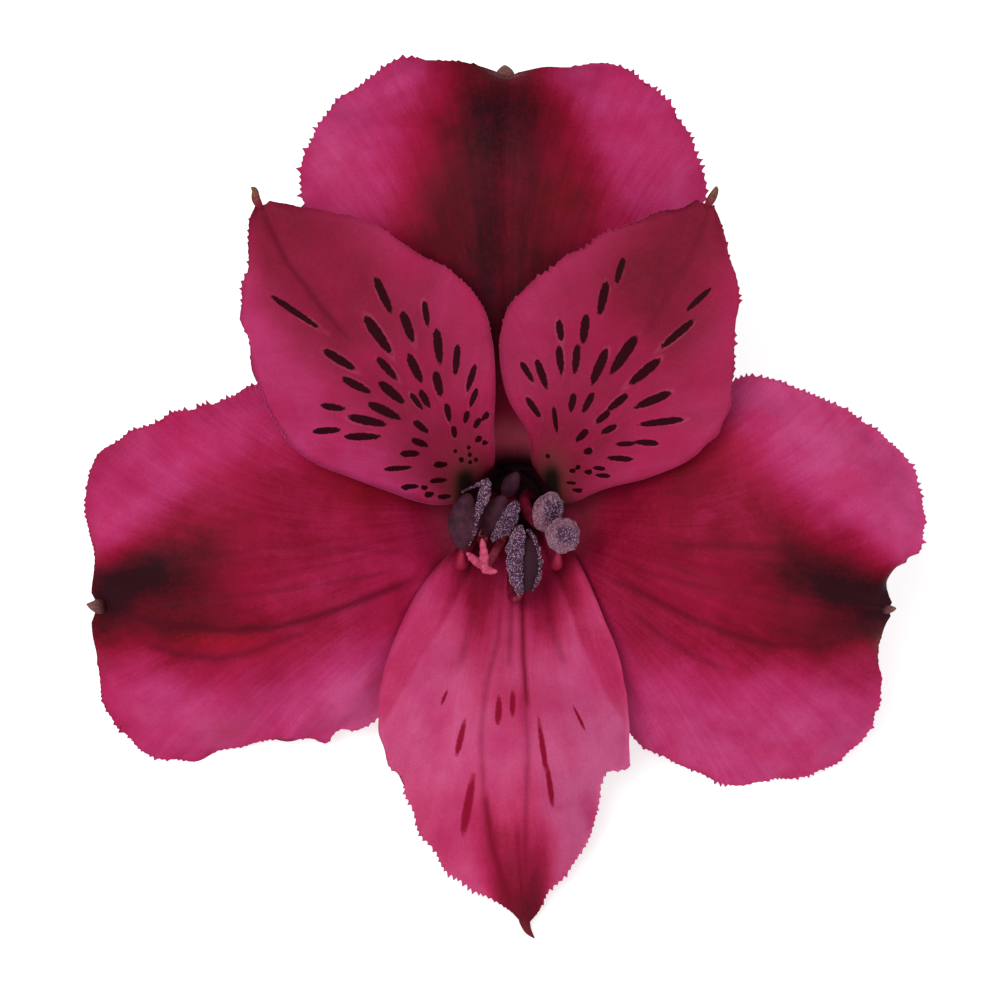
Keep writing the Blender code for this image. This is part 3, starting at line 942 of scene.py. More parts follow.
    def teeth(self, edge: np.ndarray, share: np.ndarray, side: int) -> np.ndarray:
        """How far a margin stands in from its envelope.

        Args:
            edge: The margin's points, in order from foot to tip.
            share: Each point's share of the way to the tip.
            side: -1 for the left margin, 1 for the right.

        Returns:
            The distance for each point, in millimetres.
        """
        run = np.concatenate(([0.0], np.cumsum(np.linalg.norm(np.diff(edge, axis=0), axis=1))))
        draw = np.random.default_rng(self.seed * 10 + side)
        roots = [0.0]
        while roots[-1] < run[-1] + 1:
            roots.append(roots[-1] + self.tooth * draw.uniform(0.7, 1.3))
        roots = np.array(roots)
        tips = roots[:-1] + np.diff(roots) * draw.uniform(0.5, 0.85, len(roots) - 1)
        heights = draw.uniform(self.tooth_least, 1.0, len(tips))
        saw = np.interp(run, np.ravel(np.column_stack((roots[:-1], tips))),
                        np.ravel(np.column_stack((np.zeros(len(tips)), heights)))) ** 1.6
        patchy = 0.85 + 0.22 * Ripple(self.seed + side, 9.0).at(edge)
        size = self.fringe * np.clip(patchy, 0.6, 1.1)
        lapping = self.lap + 0.09 * Ripple(self.seed + side + 20, 2.6).at(edge)
        grown = (ease(self.fringe_from, self.fringe_from + 0.1, share)
                 * ease(self.fringe_to + 0.06, self.fringe_to - 0.06, share))
        inset = ((1 - saw) * size + lapping) * grown
        inset += self.pinch * ease(self.blade_end - 0.08, self.blade_end, share)
        seen = on_face(edge)
        for nick in self.nicks:
            near = np.argmin(np.linalg.norm(seen - nick.at, axis=1))
            if np.linalg.norm(seen[near] - nick.at) < self.NICK_REACH:
                inset += nick.depth * np.exp(-(((run - run[near]) / nick.width) ** 2))
        return inset

    def shell(self) -> Shell:
        """Builds the front, the back and the fringed rim, with the fields that follow the surface."""
        shell = Shell()
        along = np.linspace(0.0, self.blade_end, self.rows + 1)
        on_left, on_midrib, on_right = self.lines(along)
        half = 0.5 * (np.linalg.norm(on_left - on_midrib, axis=1)
                      + np.linalg.norm(on_right - on_midrib, axis=1))
        inner = 1 - np.minimum(self.FRINGE_BAND / np.maximum(half, 1e-6), 0.3)
        inner += self.CLAW_LAP * ease(0.3, 0.12, along)
        across = inner[:, None] * np.linspace(-1, 1, self.columns + 1)
        middle, normals = self.sheet(along, across)
        thick = self.thickness(along[:, None], across)[..., None] / 2
        rows = np.broadcast_to(along[:, None], across.shape)
        faces = [shell.add(middle + normals * thick * way, along=rows, across=across, back=float(way < 0))
                 for way in (1, -1)]
        shell.grid(faces[0])
        shell.grid(faces[1], flip=True)
        fine = np.linspace(0.0, self.blade_end, self.rows * self.FRINGE_STEPS + 1)
        ends = []
        for side in (-1, 1):
            ends.append(self.add_fringe(shell, fine, side, [face[:, -1 if side > 0 else 0] for face in faces],
                                        np.interp(fine, along, inner)))
        for row in (0, -1):
            front = np.concatenate(([ends[0][0][row]], faces[0][row], [ends[1][0][row]]))
            rear = np.concatenate(([ends[0][1][row]], faces[1][row], [ends[1][1][row]]))
            shell.strip(front, rear, flip=row == 0)
        return shell

    def add_fringe(self, shell: Shell, fine: np.ndarray, side: int, borders: list,
                   inner: np.ndarray) -> list:
        """Adds one toothed margin, joined to the borders of the front and the back.

        Args:
            shell: What it is added to.
            fine: The margin's shares of the way to the tip, FRINGE_STEPS for each row of the borders.
            side: -1 for the left margin, 1 for the right.
            borders: The point numbers of the front's and the back's border.
            inner: How far across the borders lie, at each share.

        Returns:
            The point numbers of the margin's front and back edge.
        """
        brink = 1 + self.CLAW_LAP * ease(0.3, 0.12, fine)
        across = side * (inner[:, None] + (brink - inner)[:, None] * np.array((0.0, 0.5, 1.0)))
        middle, normals = self.sheet(fine, across if side > 0 else across[:, ::-1])
        edge, normal = (middle[:, -1], normals[:, -1]) if side > 0 else (middle[:, 0], normals[:, 0])
        run = np.gradient(edge, axis=0)
        out = side * np.cross(run, normal)
        out /= np.linalg.norm(out, axis=1, keepdims=True) + 1e-12
        edge = edge - out * self.teeth(edge, fine, side)[:, None]
        bend = normal * self.RIM_THICKNESS / 2
        fields = {"along": fine, "across": float(side)}
        rim = [shell.add(edge + bend, back=0.0, **fields), shell.add(edge - bend, back=1.0, **fields)]
        steps, halfway = self.FRINGE_STEPS, self.FRINGE_STEPS // 2
        for k, (border, outer) in enumerate(zip(borders, rim)):
            flip = (side > 0) == (k == 0)
            for j in range(steps):
                anchor = border[:-1] if j < halfway else border[1:]
                here, after = outer[j:-1:steps], outer[j + 1::steps]
                shell.face(*((anchor, here, after) if flip else (anchor, after, here)))
            at_half = outer[halfway:-1:steps]
            shell.face(*((border[:-1], at_half, border[1:]) if flip else (border[:-1], border[1:], at_half)))
        shell.strip(rim[0], rim[1], flip=side < 0)
        return rim

    def add_horn(self, shell: Shell) -> None:
        """Adds the thick little horn that a tepal ends in."""
        add_rod(shell, self.horn, self.horn_radii, sides=16, rings=20, blunt=5.0, horn=1.0)

    def fields(self, shell: Shell) -> dict:
        """Works out the fields that the tepal's material reads, at every point of its mesh."""
        along, across = shell.field("along"), shell.field("across")
        points = shell.all_points()
        seen = on_face(points)
        midline = on_face(self.lines(np.linspace(0.0, 1.0, 60))[1])
        share, apart = from_line(seen, midline)
        # Painted in here: shade deep in the throat, and light on an outer tepal's claw.
        made = {"along": share, "vein": apart * np.exp(-self.fan * share), "back": shell.field("back"),
                "horn": shell.field("horn"),
                "tone": self.tone(seen, share, apart, along, across), "ink": self.ink(seen),
                "hollow": ease(*self.THROAT_SHADE_HEIGHTS, points[:, 2]),
                "pit": self.round_pit(seen) if self.pit else np.zeros(len(seen)),
                "olive": self.olive_and_claw_light_at(seen, points), "ember": self.glow(seen, self.ember),
                "rib": np.exp(-((apart / (0.5 + 0.9 * ease(0.7, 1.0, share))) ** 2)) * 0.7
                + 0.5 * ease(0.9, 1.0, along)}
        start = np.array(self.horn[0])
        reached = np.linalg.norm(points - start, axis=1) / np.linalg.norm(np.array(self.horn[-1]) - start)
        made["horn"] = made["horn"] * ease(0.2, 0.85, reached)
        made["fleck"] = self.fleck_at(seen) - made["back"]
        made["back"] = made["back"] * (1 - ease(0.9, 0.96, np.abs(across)) * ease(8.0, 5.0, points[:, 2]))
        return made

    def tone(self, seen: np.ndarray, share: np.ndarray, apart: np.ndarray, along: np.ndarray,
             across: np.ndarray) -> np.ndarray:
        """How dark the face is, 0 to 1, from its place along the midrib and how far off it lies."""
        full = through(self.midrib_tone, share)
        fade = np.zeros_like(share)
        lobe = np.zeros_like(share)
        for side, here, ground in zip(self.band, (apart > 0, apart <= 0), self.lobe_tone):
            core, reach = through(side.core, share), through(side.reach, share)
            part = 1 - ease(0.0, 1.0, (np.abs(apart) - core) / (reach - core))
            fade[here] = part[here]
            lobe[here] = ground
        rim = self.rim * ease(0.78, 1.0, np.abs(across)) * ease(0.35, 0.5, along)
        tone = lobe + rim + (full - lobe) * fade + self.glow(seen, self.blotch)
        # Painted shade where a side tepal lies behind the thin lower tepal.
        for line in self.under:
            _, beyond = from_line(seen, line)
            tone += self.SHOW_THROUGH_SHADE * ease(-0.25, 0.25, beyond) * ease(-19.0, -16.5, seen[:, 1])
        return tone

    @staticmethod
    def glow(seen: np.ndarray, patches: tuple) -> np.ndarray:
        """The sum of soft patches, each with its middle, width, height, depth and how far it is turned."""
        total = np.zeros(len(seen))
        for x, y, wide, high, depth, *turn in patches:
            cos, sin = math.cos(math.radians(sum(turn))), math.sin(math.radians(sum(turn)))
            a, b = seen[:, 0] - x, seen[:, 1] - y
            total += depth * np.exp(-(((a * cos + b * sin) / wide) ** 2) - ((b * cos - a * sin) / high) ** 2)
        return total

    def ink(self, seen: np.ndarray) -> np.ndarray:
        """How strongly the drawn veins, and the painted shade along the folds, show."""
        ink = np.zeros(len(seen))
        for stroke in self.strokes:
            share, apart = from_line(seen, stroke.line)
            taper = ease(0.0, 0.12, share) * ease(1.0, 0.85, share)
            ink = np.maximum(ink, stroke.strength * taper * np.exp(-((apart / stroke.width) ** 2)))
        return ink

    def fleck_at(self, seen: np.ndarray) -> np.ndarray:
        """A field above 0 inside the flecks and below 0 elsewhere."""
        inside = np.full(len(seen), -1.5)
        for fleck in (*self.flecks, *self.aimed_flecks()):
            far, near = np.array(fleck.far, float), np.array(fleck.near, float)
            middle, step = (far + near) / 2, near - far
            length = np.linalg.norm(step) / 2
            step = step / (2 * length)
            off = seen - middle
            a = off @ step / length
            b = (off @ np.array((-step[1], step[0]))) / (fleck.width / 2)
            swell = (1 - np.abs(a) ** 2.5) * (1 - 0.25 * a)
            inside = np.maximum(inside, np.where(np.abs(a) < 2.5, swell - b**2, -1.5))
        return np.clip(inside, -1.5, 1.0)

    def aimed_flecks(self) -> list:
        """The spots as flecks that fan out from the foot, more widely than if they all pointed at it."""
        flecks = []
        foot_x, foot_y, axis = self.aim
        for x, y, long, *width in self.spots:
            off = (math.degrees(math.atan2(y - foot_y, x - foot_x)) - axis + 180) % 360 - 180
            turn = math.radians(axis + max(-self.AIM_LIMIT, min(self.AIM_LIMIT, self.AIM_SPREAD * off)))
            half = long / 2 * np.array((math.cos(turn), math.sin(turn)))
            middle = np.array((x, y))
            flecks.append(Fleck(tuple(middle + half), tuple(middle - half), *(width or (0.42 + 0.1 * long,))))
        return flecks

    def round_pit(self, seen: np.ndarray, wider: float = 1.0, higher: float = 1.0) -> np.ndarray:
        """1 in the nectar pit at the foot of an upper inner tepal, and less the farther off."""
        x, y, wide, high = self.pit
        above = np.maximum(seen[:, 1] - y, 0)
        return np.exp(-(((seen[:, 0] - x) / (wide * wider)) ** 2 + (above / (high * higher)) ** 2))

    def olive_and_claw_light_at(self, seen: np.ndarray, points: np.ndarray) -> np.ndarray:
        """The dull olive flush above the pit, or on an outer tepal the painted light that lifts its claw deep
        in the throat.
        """
        if self.pit:
            return 0.9 * self.round_pit(seen, 1.6, 1.9)
        near = ease(9.5, 6.5, np.linalg.norm(points[:, :2], axis=1))
        return self.flush * ease(13.5, 8.5, points[:, 2]) * near

    def build(self, frame: BlossomFrame) -> bpy.types.Object:
        """Builds the tepal.

        Args:
            frame: Where the blossom lies.

        Returns:
            The piece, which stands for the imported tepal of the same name.
        """
        shell = self.shell()
        self.add_horn(shell)
        mesh = shell.mesh(self.name, frame.place(shell.all_points()), self.fields(shell))
        piece = new_piece(f"{self.name}_blade", mesh, self.finish.material(f"{self.name}_skin"))
        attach(piece, "root")
        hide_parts(self.name)
        return piece


# The spots of the two upper inner tepals: where each lies on the face, its length, and its width where that
# doesn't follow from its length, in millimetres.
LEFT_SPOTS = (
    (-18, 15.4, 5, 0.55), (-14.4, 11.5, 3.2, 0.75), (-13, 9.4, 2.8), (-14.9, 7.6, 2.2, 0.6),
    (-12.1, 6.5, 3.4), (-15.4, 5.7, 2.5, 0.6), (-12.5, 5.2, 3.1, 0.65), (-11.2, 13.5, 3.9, 0.9),
    (-10.5, 10.8, 2.5), (-10.1, 8.8, 2.8, 0.8), (-10.7, 7.3, 3.1, 0.8), (-10.8, 16.8, 3.3),
    (-8.8, 14.2, 2.8, 0.78), (-7.3, 15.3, 2.2, 0.55), (-8.2, 10.8, 2.7, 0.76), (-6.3, 12.6, 3, 0.76),
    (-4.8, 11.5, 2.7, 0.6), (-6.3, 9.5, 2.2, 0.75), (-8.1, 8.1, 1.7, 0.5), (-7.4, 8.3, 1.7, 0.6),
    (-3.6, 10, 2.4, 0.55), (-3.4, 8.4, 1.7, 0.5), (-5.5, 7.2, 1.6, 0.55), (-4, 6.8, 1.1, 0.5),
    (-2.3, 7, 1.3, 0.5), (-3.1, 6.3, 1, 0.5), (-5, 5.6, 1, 0.5), (-3, 5, 0.7, 0.5), (-2.5, 4.7, 0.5, 0.4),
    (-7.7, 6, 1.6, 0.6), (-7.8, 4.7, 1.5, 0.6), (-8.6, 3.8, 1.7, 0.6), (-9.6, 2.6, 2.5, 0.45),
    (-6.1, 2.9, 1.2, 0.55), (-8.6, 1.1, 1.6, 0.45), (-6.3, 1.6, 1.5, 0.45), (-7.4, 1, 0.6, 0.4),
    (-7, 0.5, 0.9, 0.4), (-5.8, 0.3, 1.2, 0.38), (-3.8, 4.3, 0.42, 0.38), (-3.7, 3.7, 0.42, 0.38),
    (-4.4, 3.3, 0.5, 0.45), (-3.7, 3.1, 0.4, 0.36), (-3.2, 3.3, 0.4, 0.36), (-4.9, 4, 0.4, 0.35),
)
RIGHT_SPOTS = (
    (8.6, 18.8, 2.3, 0.6), (7.2, 16.5, 3, 0.76), (5.7, 14, 2.6, 0.76), (3.7, 13.9, 1.9, 0.65),
    (3.7, 11.5, 2.5, 0.65), (5, 11.5, 2.5, 0.65), (6.9, 10.9, 3.2, 0.82), (8.9, 11.9, 4, 0.92),
    (13.3, 13.6, 3.6, 0.65), (15, 16.4, 2.8, 0.5), (10.6, 10.5, 3.4, 0.82), (11.3, 8.2, 3.3),
    (12, 6.4, 3.9, 0.6), (1, 10.5, 2.1, 0.55), (2.2, 10.3, 2.7, 0.65), (1.5, 7.6, 2.1, 0.55),
    (3.3, 6.6, 2.2, 0.42), (4.7, 8, 1.6, 0.6), (6, 8, 1.9, 0.6), (8.4, 8, 2.2, 0.65), (7.2, 6.8, 1.5, 0.6),
    (7.7, 5.8, 1.5, 0.55), (5.5, 5.3, 1.4, 0.6), (6, 4, 0.8, 0.6), (9, 4.6, 1.6, 0.45),
    (10.8, 4.7, 2.1, 0.55), (8.6, 3.4, 2.2, 0.5), (4.7, 2.4, 0.6, 0.4), (5.2, 2.7, 0.45, 0.4),
    (6, 2.3, 0.7, 0.45), (6.9, 2.6, 1.1, 0.4), (7.2, 2, 1.3, 0.4), (2.7, 3.6, 0.42, 0.4),
    (4.6, 1.4, 0.9, 0.3), (5.2, 0.8, 1.1, 0.35),
)
# Some of these tones are partly painted shade: the top tepal's midrib is darker also where the upper inner
# tepals shade it, and the halves of the upper inner tepals that face each other are darker also where they lie
# in shade.
UPPER_SIDE = BandSide(core=(4, 7, 6, 2.4, 1.5), reach=(8, 16, 15, 10.5, 5))
LOWER_SIDE = BandSide(core=(3, 4, 3.8, 1.6, 1.2), reach=(6, 11, 12.8, 11.5, 7.5))
TOP_LEFT = BandSide(core=(2, 3.5, 4, 3, 2), reach=(5, 9, 14, 12, 9))
TOP_RIGHT = BandSide(core=(2, 3, 2.8, 1.4, 0.6), reach=(5, 9, 14.5, 11.8, 6.5))
SIDE_TONES = (0.55, 0.5, 0.47, 0.46, 0.46, 0.48, 0.56, 0.66, 0.72, 0.74, 0.74)
TOP_TONES = (0.7, 0.72, 0.76, 0.82, 0.86, 0.86, 0.82, 0.82, 0.84, 0.84, 0.74)
INNER_OUTSIDE = BandSide(core=(1, 1.5, 1, 1, 0.5), reach=(3, 6, 7, 6, 3))
INNER_INSIDE = BandSide(core=(1, 2, 2.5, 2, 1), reach=(4, 7, 9, 8, 6))
INNER_TONES = (0.7, 0.6, 0.52, 0.5, 0.5, 0.52, 0.6, 0.68, 0.72, 0.75, 0.8)
LOWER_BAND = BandSide(core=(3, 3, 2, 1.4, 1), reach=(7, 7, 6.5, 5, 2.5))
LOWER_TONES = (0.6, 0.52, 0.42, 0.24, 0.14, 0.1, 0.18, 0.4, 0.64, 0.9, 1.0)


# What the tepals of a whorl or of a pair share.
OUTER_WHORL = {"ring": OUTER_RING, "foot_half_angle": OUTER_FOOT_HALF_ANGLE, "finish": OUTER_FINISH}
SIDE_PAIR = {**OUTER_WHORL, "midrib_tone": SIDE_TONES, "fringe_to": 0.96}
INNER_WHORL = {"ring": INNER_RING, "foot_half_angle": INNER_FOOT_HALF_ANGLE}
UPPER_PAIR = {**INNER_WHORL, "finish": INNER_FINISH, "midrib_tone": INNER_TONES, "rows": 200, "columns": 110,
              "tooth_least": 0.1, "fringe_from": 0.4, "ruffle": 0.16, "blade_end": 0.95, "pinch": 0.35,
              "fan": 5.2}

OUTER_TEPALS = (
    Tepal(
        "outer_tepal_top", 90, **OUTER_WHORL,
        midrib=((-0.1, 4.1, 5.5), (-0.3, 6.3, 11), (-0.5, 11, 15.8), (-0.6, 18.5, 19), (-0.7, 26.5, 20),
                (-0.7, 32.6, 18.4), (-0.7, 35.2, 15.4)),
        left=((-2.5, 3.8, 5.5), (-3.6, 5.6, 10.8), (-7.6, 10.2, 14.6), (-12.2, 16, 17), (-15.6, 20.5, 17.5),
              (-17.4, 23.6, 17.3), (-17.9, 26.1, 16.8), (-17, 29.7, 16.6), (-15.3, 32.4, 16),
              (-12.5, 35, 15.5), (-9.2, 36.5, 15.2), (-5, 36.1, 15.3)),
        right=((2.5, 3.8, 5.5), (3.5, 5.6, 10.8), (7, 10.2, 14.6), (11, 15.6, 17), (13.9, 20, 17.5),
               (15.4, 23.3, 17.3), (15.9, 26.1, 16.8), (14.6, 30, 16.5), (12.7, 33, 16), (9.8, 35.5, 15.5),
               (6.6, 36.2, 15.1), (3.6, 35.8, 15)),
        band=(TOP_LEFT, TOP_RIGHT), midrib_tone=TOP_TONES, lobe_tone=(0.16, 0.17), fan=1.9, seed=3,
        fringe=0.66, tooth=0.6, tooth_least=0.3, lap=-0.25, fringe_to=1.06, rim=0.08, flush=0.85,
        blotch=((-1.4, 30.6, 1.9, 4.2, 0.16), (-6, 25, 2.2, 3, 0.12), (-2.2, 22, 1.2, 5, 0.12),
                (5.2, 27, 1.6, 3, 0.08), (14, 28, 2.4, 2.8, -0.12), (-16, 30, 2.2, 3.2, -0.12),
                (-9.9, 32, 2, 2, 0.07)),
        ember=((-5.8, 26, 1.5, 5.5, 0.15, 8), (3.4, 25, 1.5, 5, 0.2, -8)),
        nicks=(Nick((13.3, 31.1), 0.4, 0.5), Nick((-10.2, 36.5), -0.45, 1.8), Nick((6.4, 36.4), -0.45, 1.6),
               Nick((-7.4, 36.3), 0.6, 0.35), Nick((-3.6, 36), 0.3, 1.4), Nick((2.6, 35.8), 0.6, 1.8),
               Nick((-16.4, 31.5), 0.3, 2.2), Nick((11.5, 34.3), 0.3, 1.8)),
        horn=((-0.75, 33.6, 15.3), (-0.8, 34.8, 14.7), (-0.85, 35.95, 14.2)),
        horn_radii=(0.6, 0.88, 0.8, 0.3)),
    Tepal(
        "outer_tepal_left", 210, **SIDE_PAIR,
        midrib=((-3.7, -2.2, 5.5), (-5.7, -3, 10.4), (-9.8, -4.2, 14.8), (-16.5, -6, 17.2),
                (-24, -7.4, 17.9), (-31, -8.4, 16.9), (-35.3, -8.8, 14.8)),
        left=((-2.2, -4.3, 5.5), (-3.5, -6.8, 9.2), (-5.4, -9.8, 11.4), (-8.4, -14.2, 11.8),
              (-12, -18.4, 11), (-16.2, -20, 9.9), (-21.2, -20.3, 9.1), (-24.4, -21.3, 8.9),
              (-27.6, -21.8, 8.9), (-30.9, -21, 9.5), (-33.5, -18.4, 11.2), (-34.9, -14.4, 13)),
        right=((-4.6, -0.2, 5.5), (-6.9, 1.2, 10.6), (-11.2, 4, 14), (-16.2, 7.3, 15.8), (-20.4, 9.3, 16.4),
               (-24, 8.3, 16.6), (-27.2, 7.4, 16.4), (-30.4, 6.4, 16.1), (-33.2, 5.1, 15.8),
               (-34.9, 2.4, 15.6), (-35.3, -1.2, 15.6), (-34.8, -4.2, 15.6)),
        band=(LOWER_SIDE, UPPER_SIDE), lobe_tone=(0.14, 0.18), seed=5, fringe=0.44, tooth=0.48,
        tooth_least=0.25, lap=-0.2, rim=0.14, flush=0.4,
        strokes=(Stroke(((-7, -6), (-10, -7.2), (-13, -8.4), (-17, -9.8), (-20, -10.5), (-24, -10.7),
                         (-28, -10.3), (-34, -9)), 0.3, 0.75, 0.12),
                 Stroke(((-17, -10.6), (-21, -12.3), (-24, -13), (-27, -12.8), (-31, -11.6)), 0.34, 0.5,
                        0.1),
                 Stroke(((-9, -5.6), (-15, -6.8), (-22, -7.8), (-28, -8.3), (-34, -8.7)), 0.2, 0.4, 0.06),
                 Stroke(((-8, -4.4), (-14, -4), (-20, -3.9), (-26, -4.8)), 0.25, 0.25, 0.05)),
        # Painted among these patches: shade beside the overlapping inner tepal near (-12, 1.5), in blotch and
        # ember, and light over the lower tepal's shadow near (-12, -16.5).
        blotch=((-31.4, -6.6, 3.4, 2, 0.26, 8), (-27, -5.4, 5, 3.2, 0.16), (-12, 1.6, 4.5, 2.6, 0.16),
                (-27.5, -10.4, 4, 1.2, 0.18, 5), (-12, -16.5, 3.8, 3.4, -0.26), (-23.5, 2.5, 3, 2, 0.08),
                (-33.4, -8.6, 1.6, 1.6, 0.26), (-30.8, -12.4, 2.4, 1.8, -0.13), (-8, -6, 1.6, 1.6, -0.1),
                (-24, -19, 3, 2, -0.12), (-30, -15.6, 2.4, 2, -0.1), (-19.8, -7.4, 2.4, 1.4, -0.1)),
        ember=((-23.5, -11.7, 4.2, 0.8, 0.75, -6), (-27, -9.6, 3, 0.7, 0.25, 5),
               (-12.5, 1.4, 3.6, 2.2, 0.35)),
        horn=((-33.6, -8.7, 15.4), (-34.6, -8.75, 15.1), (-35.4, -8.6, 14.9)),
        horn_radii=(0.55, 0.68, 0.4, 0.08),
        nicks=(Nick((-12, -18), -0.6, 2.2), Nick((-14.2, -18.9), 0.45, 0.7), Nick((-15.5, -20), -0.9, 0.6),
               Nick((-18.6, -19.6), 1.2, 1.6), Nick((-22, -20.3), -0.35, 1.2), Nick((-25, -21), -0.45, 1.6),
               Nick((-34.5, -11), 1.9, 1.6), Nick((-34.7, -6.6), 0.5, 0.9), Nick((-34.9, -3.7), -0.3, 1),
               Nick((-32.3, 5), 0.3, 2.4), Nick((-24.8, 8.1), 0.5, 0.8), Nick((-21, 9.6), -0.6, 2.2))),
    Tepal(
        "outer_tepal_right", 330, **SIDE_PAIR,
        midrib=((3.7, -2.2, 5.5), (5.7, -3, 10.4), (9.6, -4.2, 14.8), (15.8, -6, 17.2), (22.2, -7.6, 17.9),
                (28, -8.6, 16.9), (31.5, -9, 14.9)),
        left=((4.6, -0.2, 5.5), (6.8, 1.3, 10.6), (10.6, 4.2, 14), (14.6, 7.8, 15.8), (18.8, 10.2, 16.4),
              (22.6, 9.5, 16.6), (26.2, 8, 16.5), (29.4, 6.2, 16.2), (32.3, 3.6, 15.9), (33.9, -0.2, 15.6),
              (33.3, -4.2, 15.4), (30.9, -6.6, 15.3)),
        right=((2.2, -4.3, 5.5), (3.3, -6.8, 9.2), (4.8, -10.2, 11.6), (7.2, -15.4, 11.8),
               (10.4, -20.2, 10.8), (14.6, -22.6, 9.8), (19, -23.8, 9), (23, -23.6, 8.9),
               (26.9, -22.3, 9.1), (29.7, -19.2, 10), (30.7, -15.6, 11.4), (30.3, -11.8, 13.2)),
        band=(UPPER_SIDE, LOWER_SIDE), lobe_tone=(0.08, 0.13), seed=8, fringe=0.5, tooth=0.5,
        tooth_least=0.3, lap=-0.24, flush=0.35,
        strokes=(Stroke(((7, -6), (10, -7.4), (13, -9), (17, -10.8), (21, -11.9), (25, -12), (29, -10.8)),
                        0.32, 0.6, 0.1),
                 Stroke(((9, -8.6), (12, -11.2), (15, -13), (18, -14.2)), 0.3, 0.4, 0.06),
                 Stroke(((9, -5.6), (15, -7), (21, -8.2), (27, -8.8), (31, -9)), 0.2, 0.3, 0.06),
                 Stroke(((12, -4), (17, -3.6), (22, -4.2), (27, -6)), 0.35, 0.3, 0.05)),
        # Painted among these patches: shade beside the overlapping inner tepal near (13, 2.4) and (16.5, 4),
        # and in ember near (16, 4.6).
        blotch=((28, -8, 5.4, 1.4, 0.3, -12), (30, -8.2, 2.2, 2, 0.18), (24, -5.6, 5, 1.8, 0.16, -14),
                (13, 2.4, 6.5, 3.2, 0.15, 10), (29.2, -15, 1.6, 2.6, 0.14), (26, -10.4, 4.5, 1.3, 0.16, -6),
                (11, -3, 3, 3, 0.1), (11, -12.4, 2, 2, 0.12), (16.5, 4, 3, 2, 0.1),
                (15.8, -5.4, 3.8, 5, 0.1), (28.9, -12.6, 1.7, 1.5, -0.2), (22, -15.5, 3, 2, -0.1),
                (28, -2.8, 2.2, 1.6, 0.08)),
        ember=((21, -9.4, 5, 0.9, 0.12, -8), (16, 4.6, 4, 2.4, 0.35)),
        horn=((30, -8.9, 15.3), (30.9, -9, 15.1), (31.5, -8.95, 15)), horn_radii=(0.36, 0.42, 0.28, 0.1),
        nicks=(Nick((29.2, -17.4), 0.4, 0.5), Nick((30.7, -7.3), 0.3, 0.5), Nick((30.7, -10.4), 0.8, 0.9),
               Nick((17, -23.2), -0.35, 3), Nick((21, 9.8), -0.35, 2.5), Nick((32.4, -5.3), -1.1, 1.2),
               Nick((11.5, -20.9), 0.45, 1.5), Nick((25, -22.8), 0.4, 2), Nick((30.2, -15.4), 0.3, 1.2))),
)


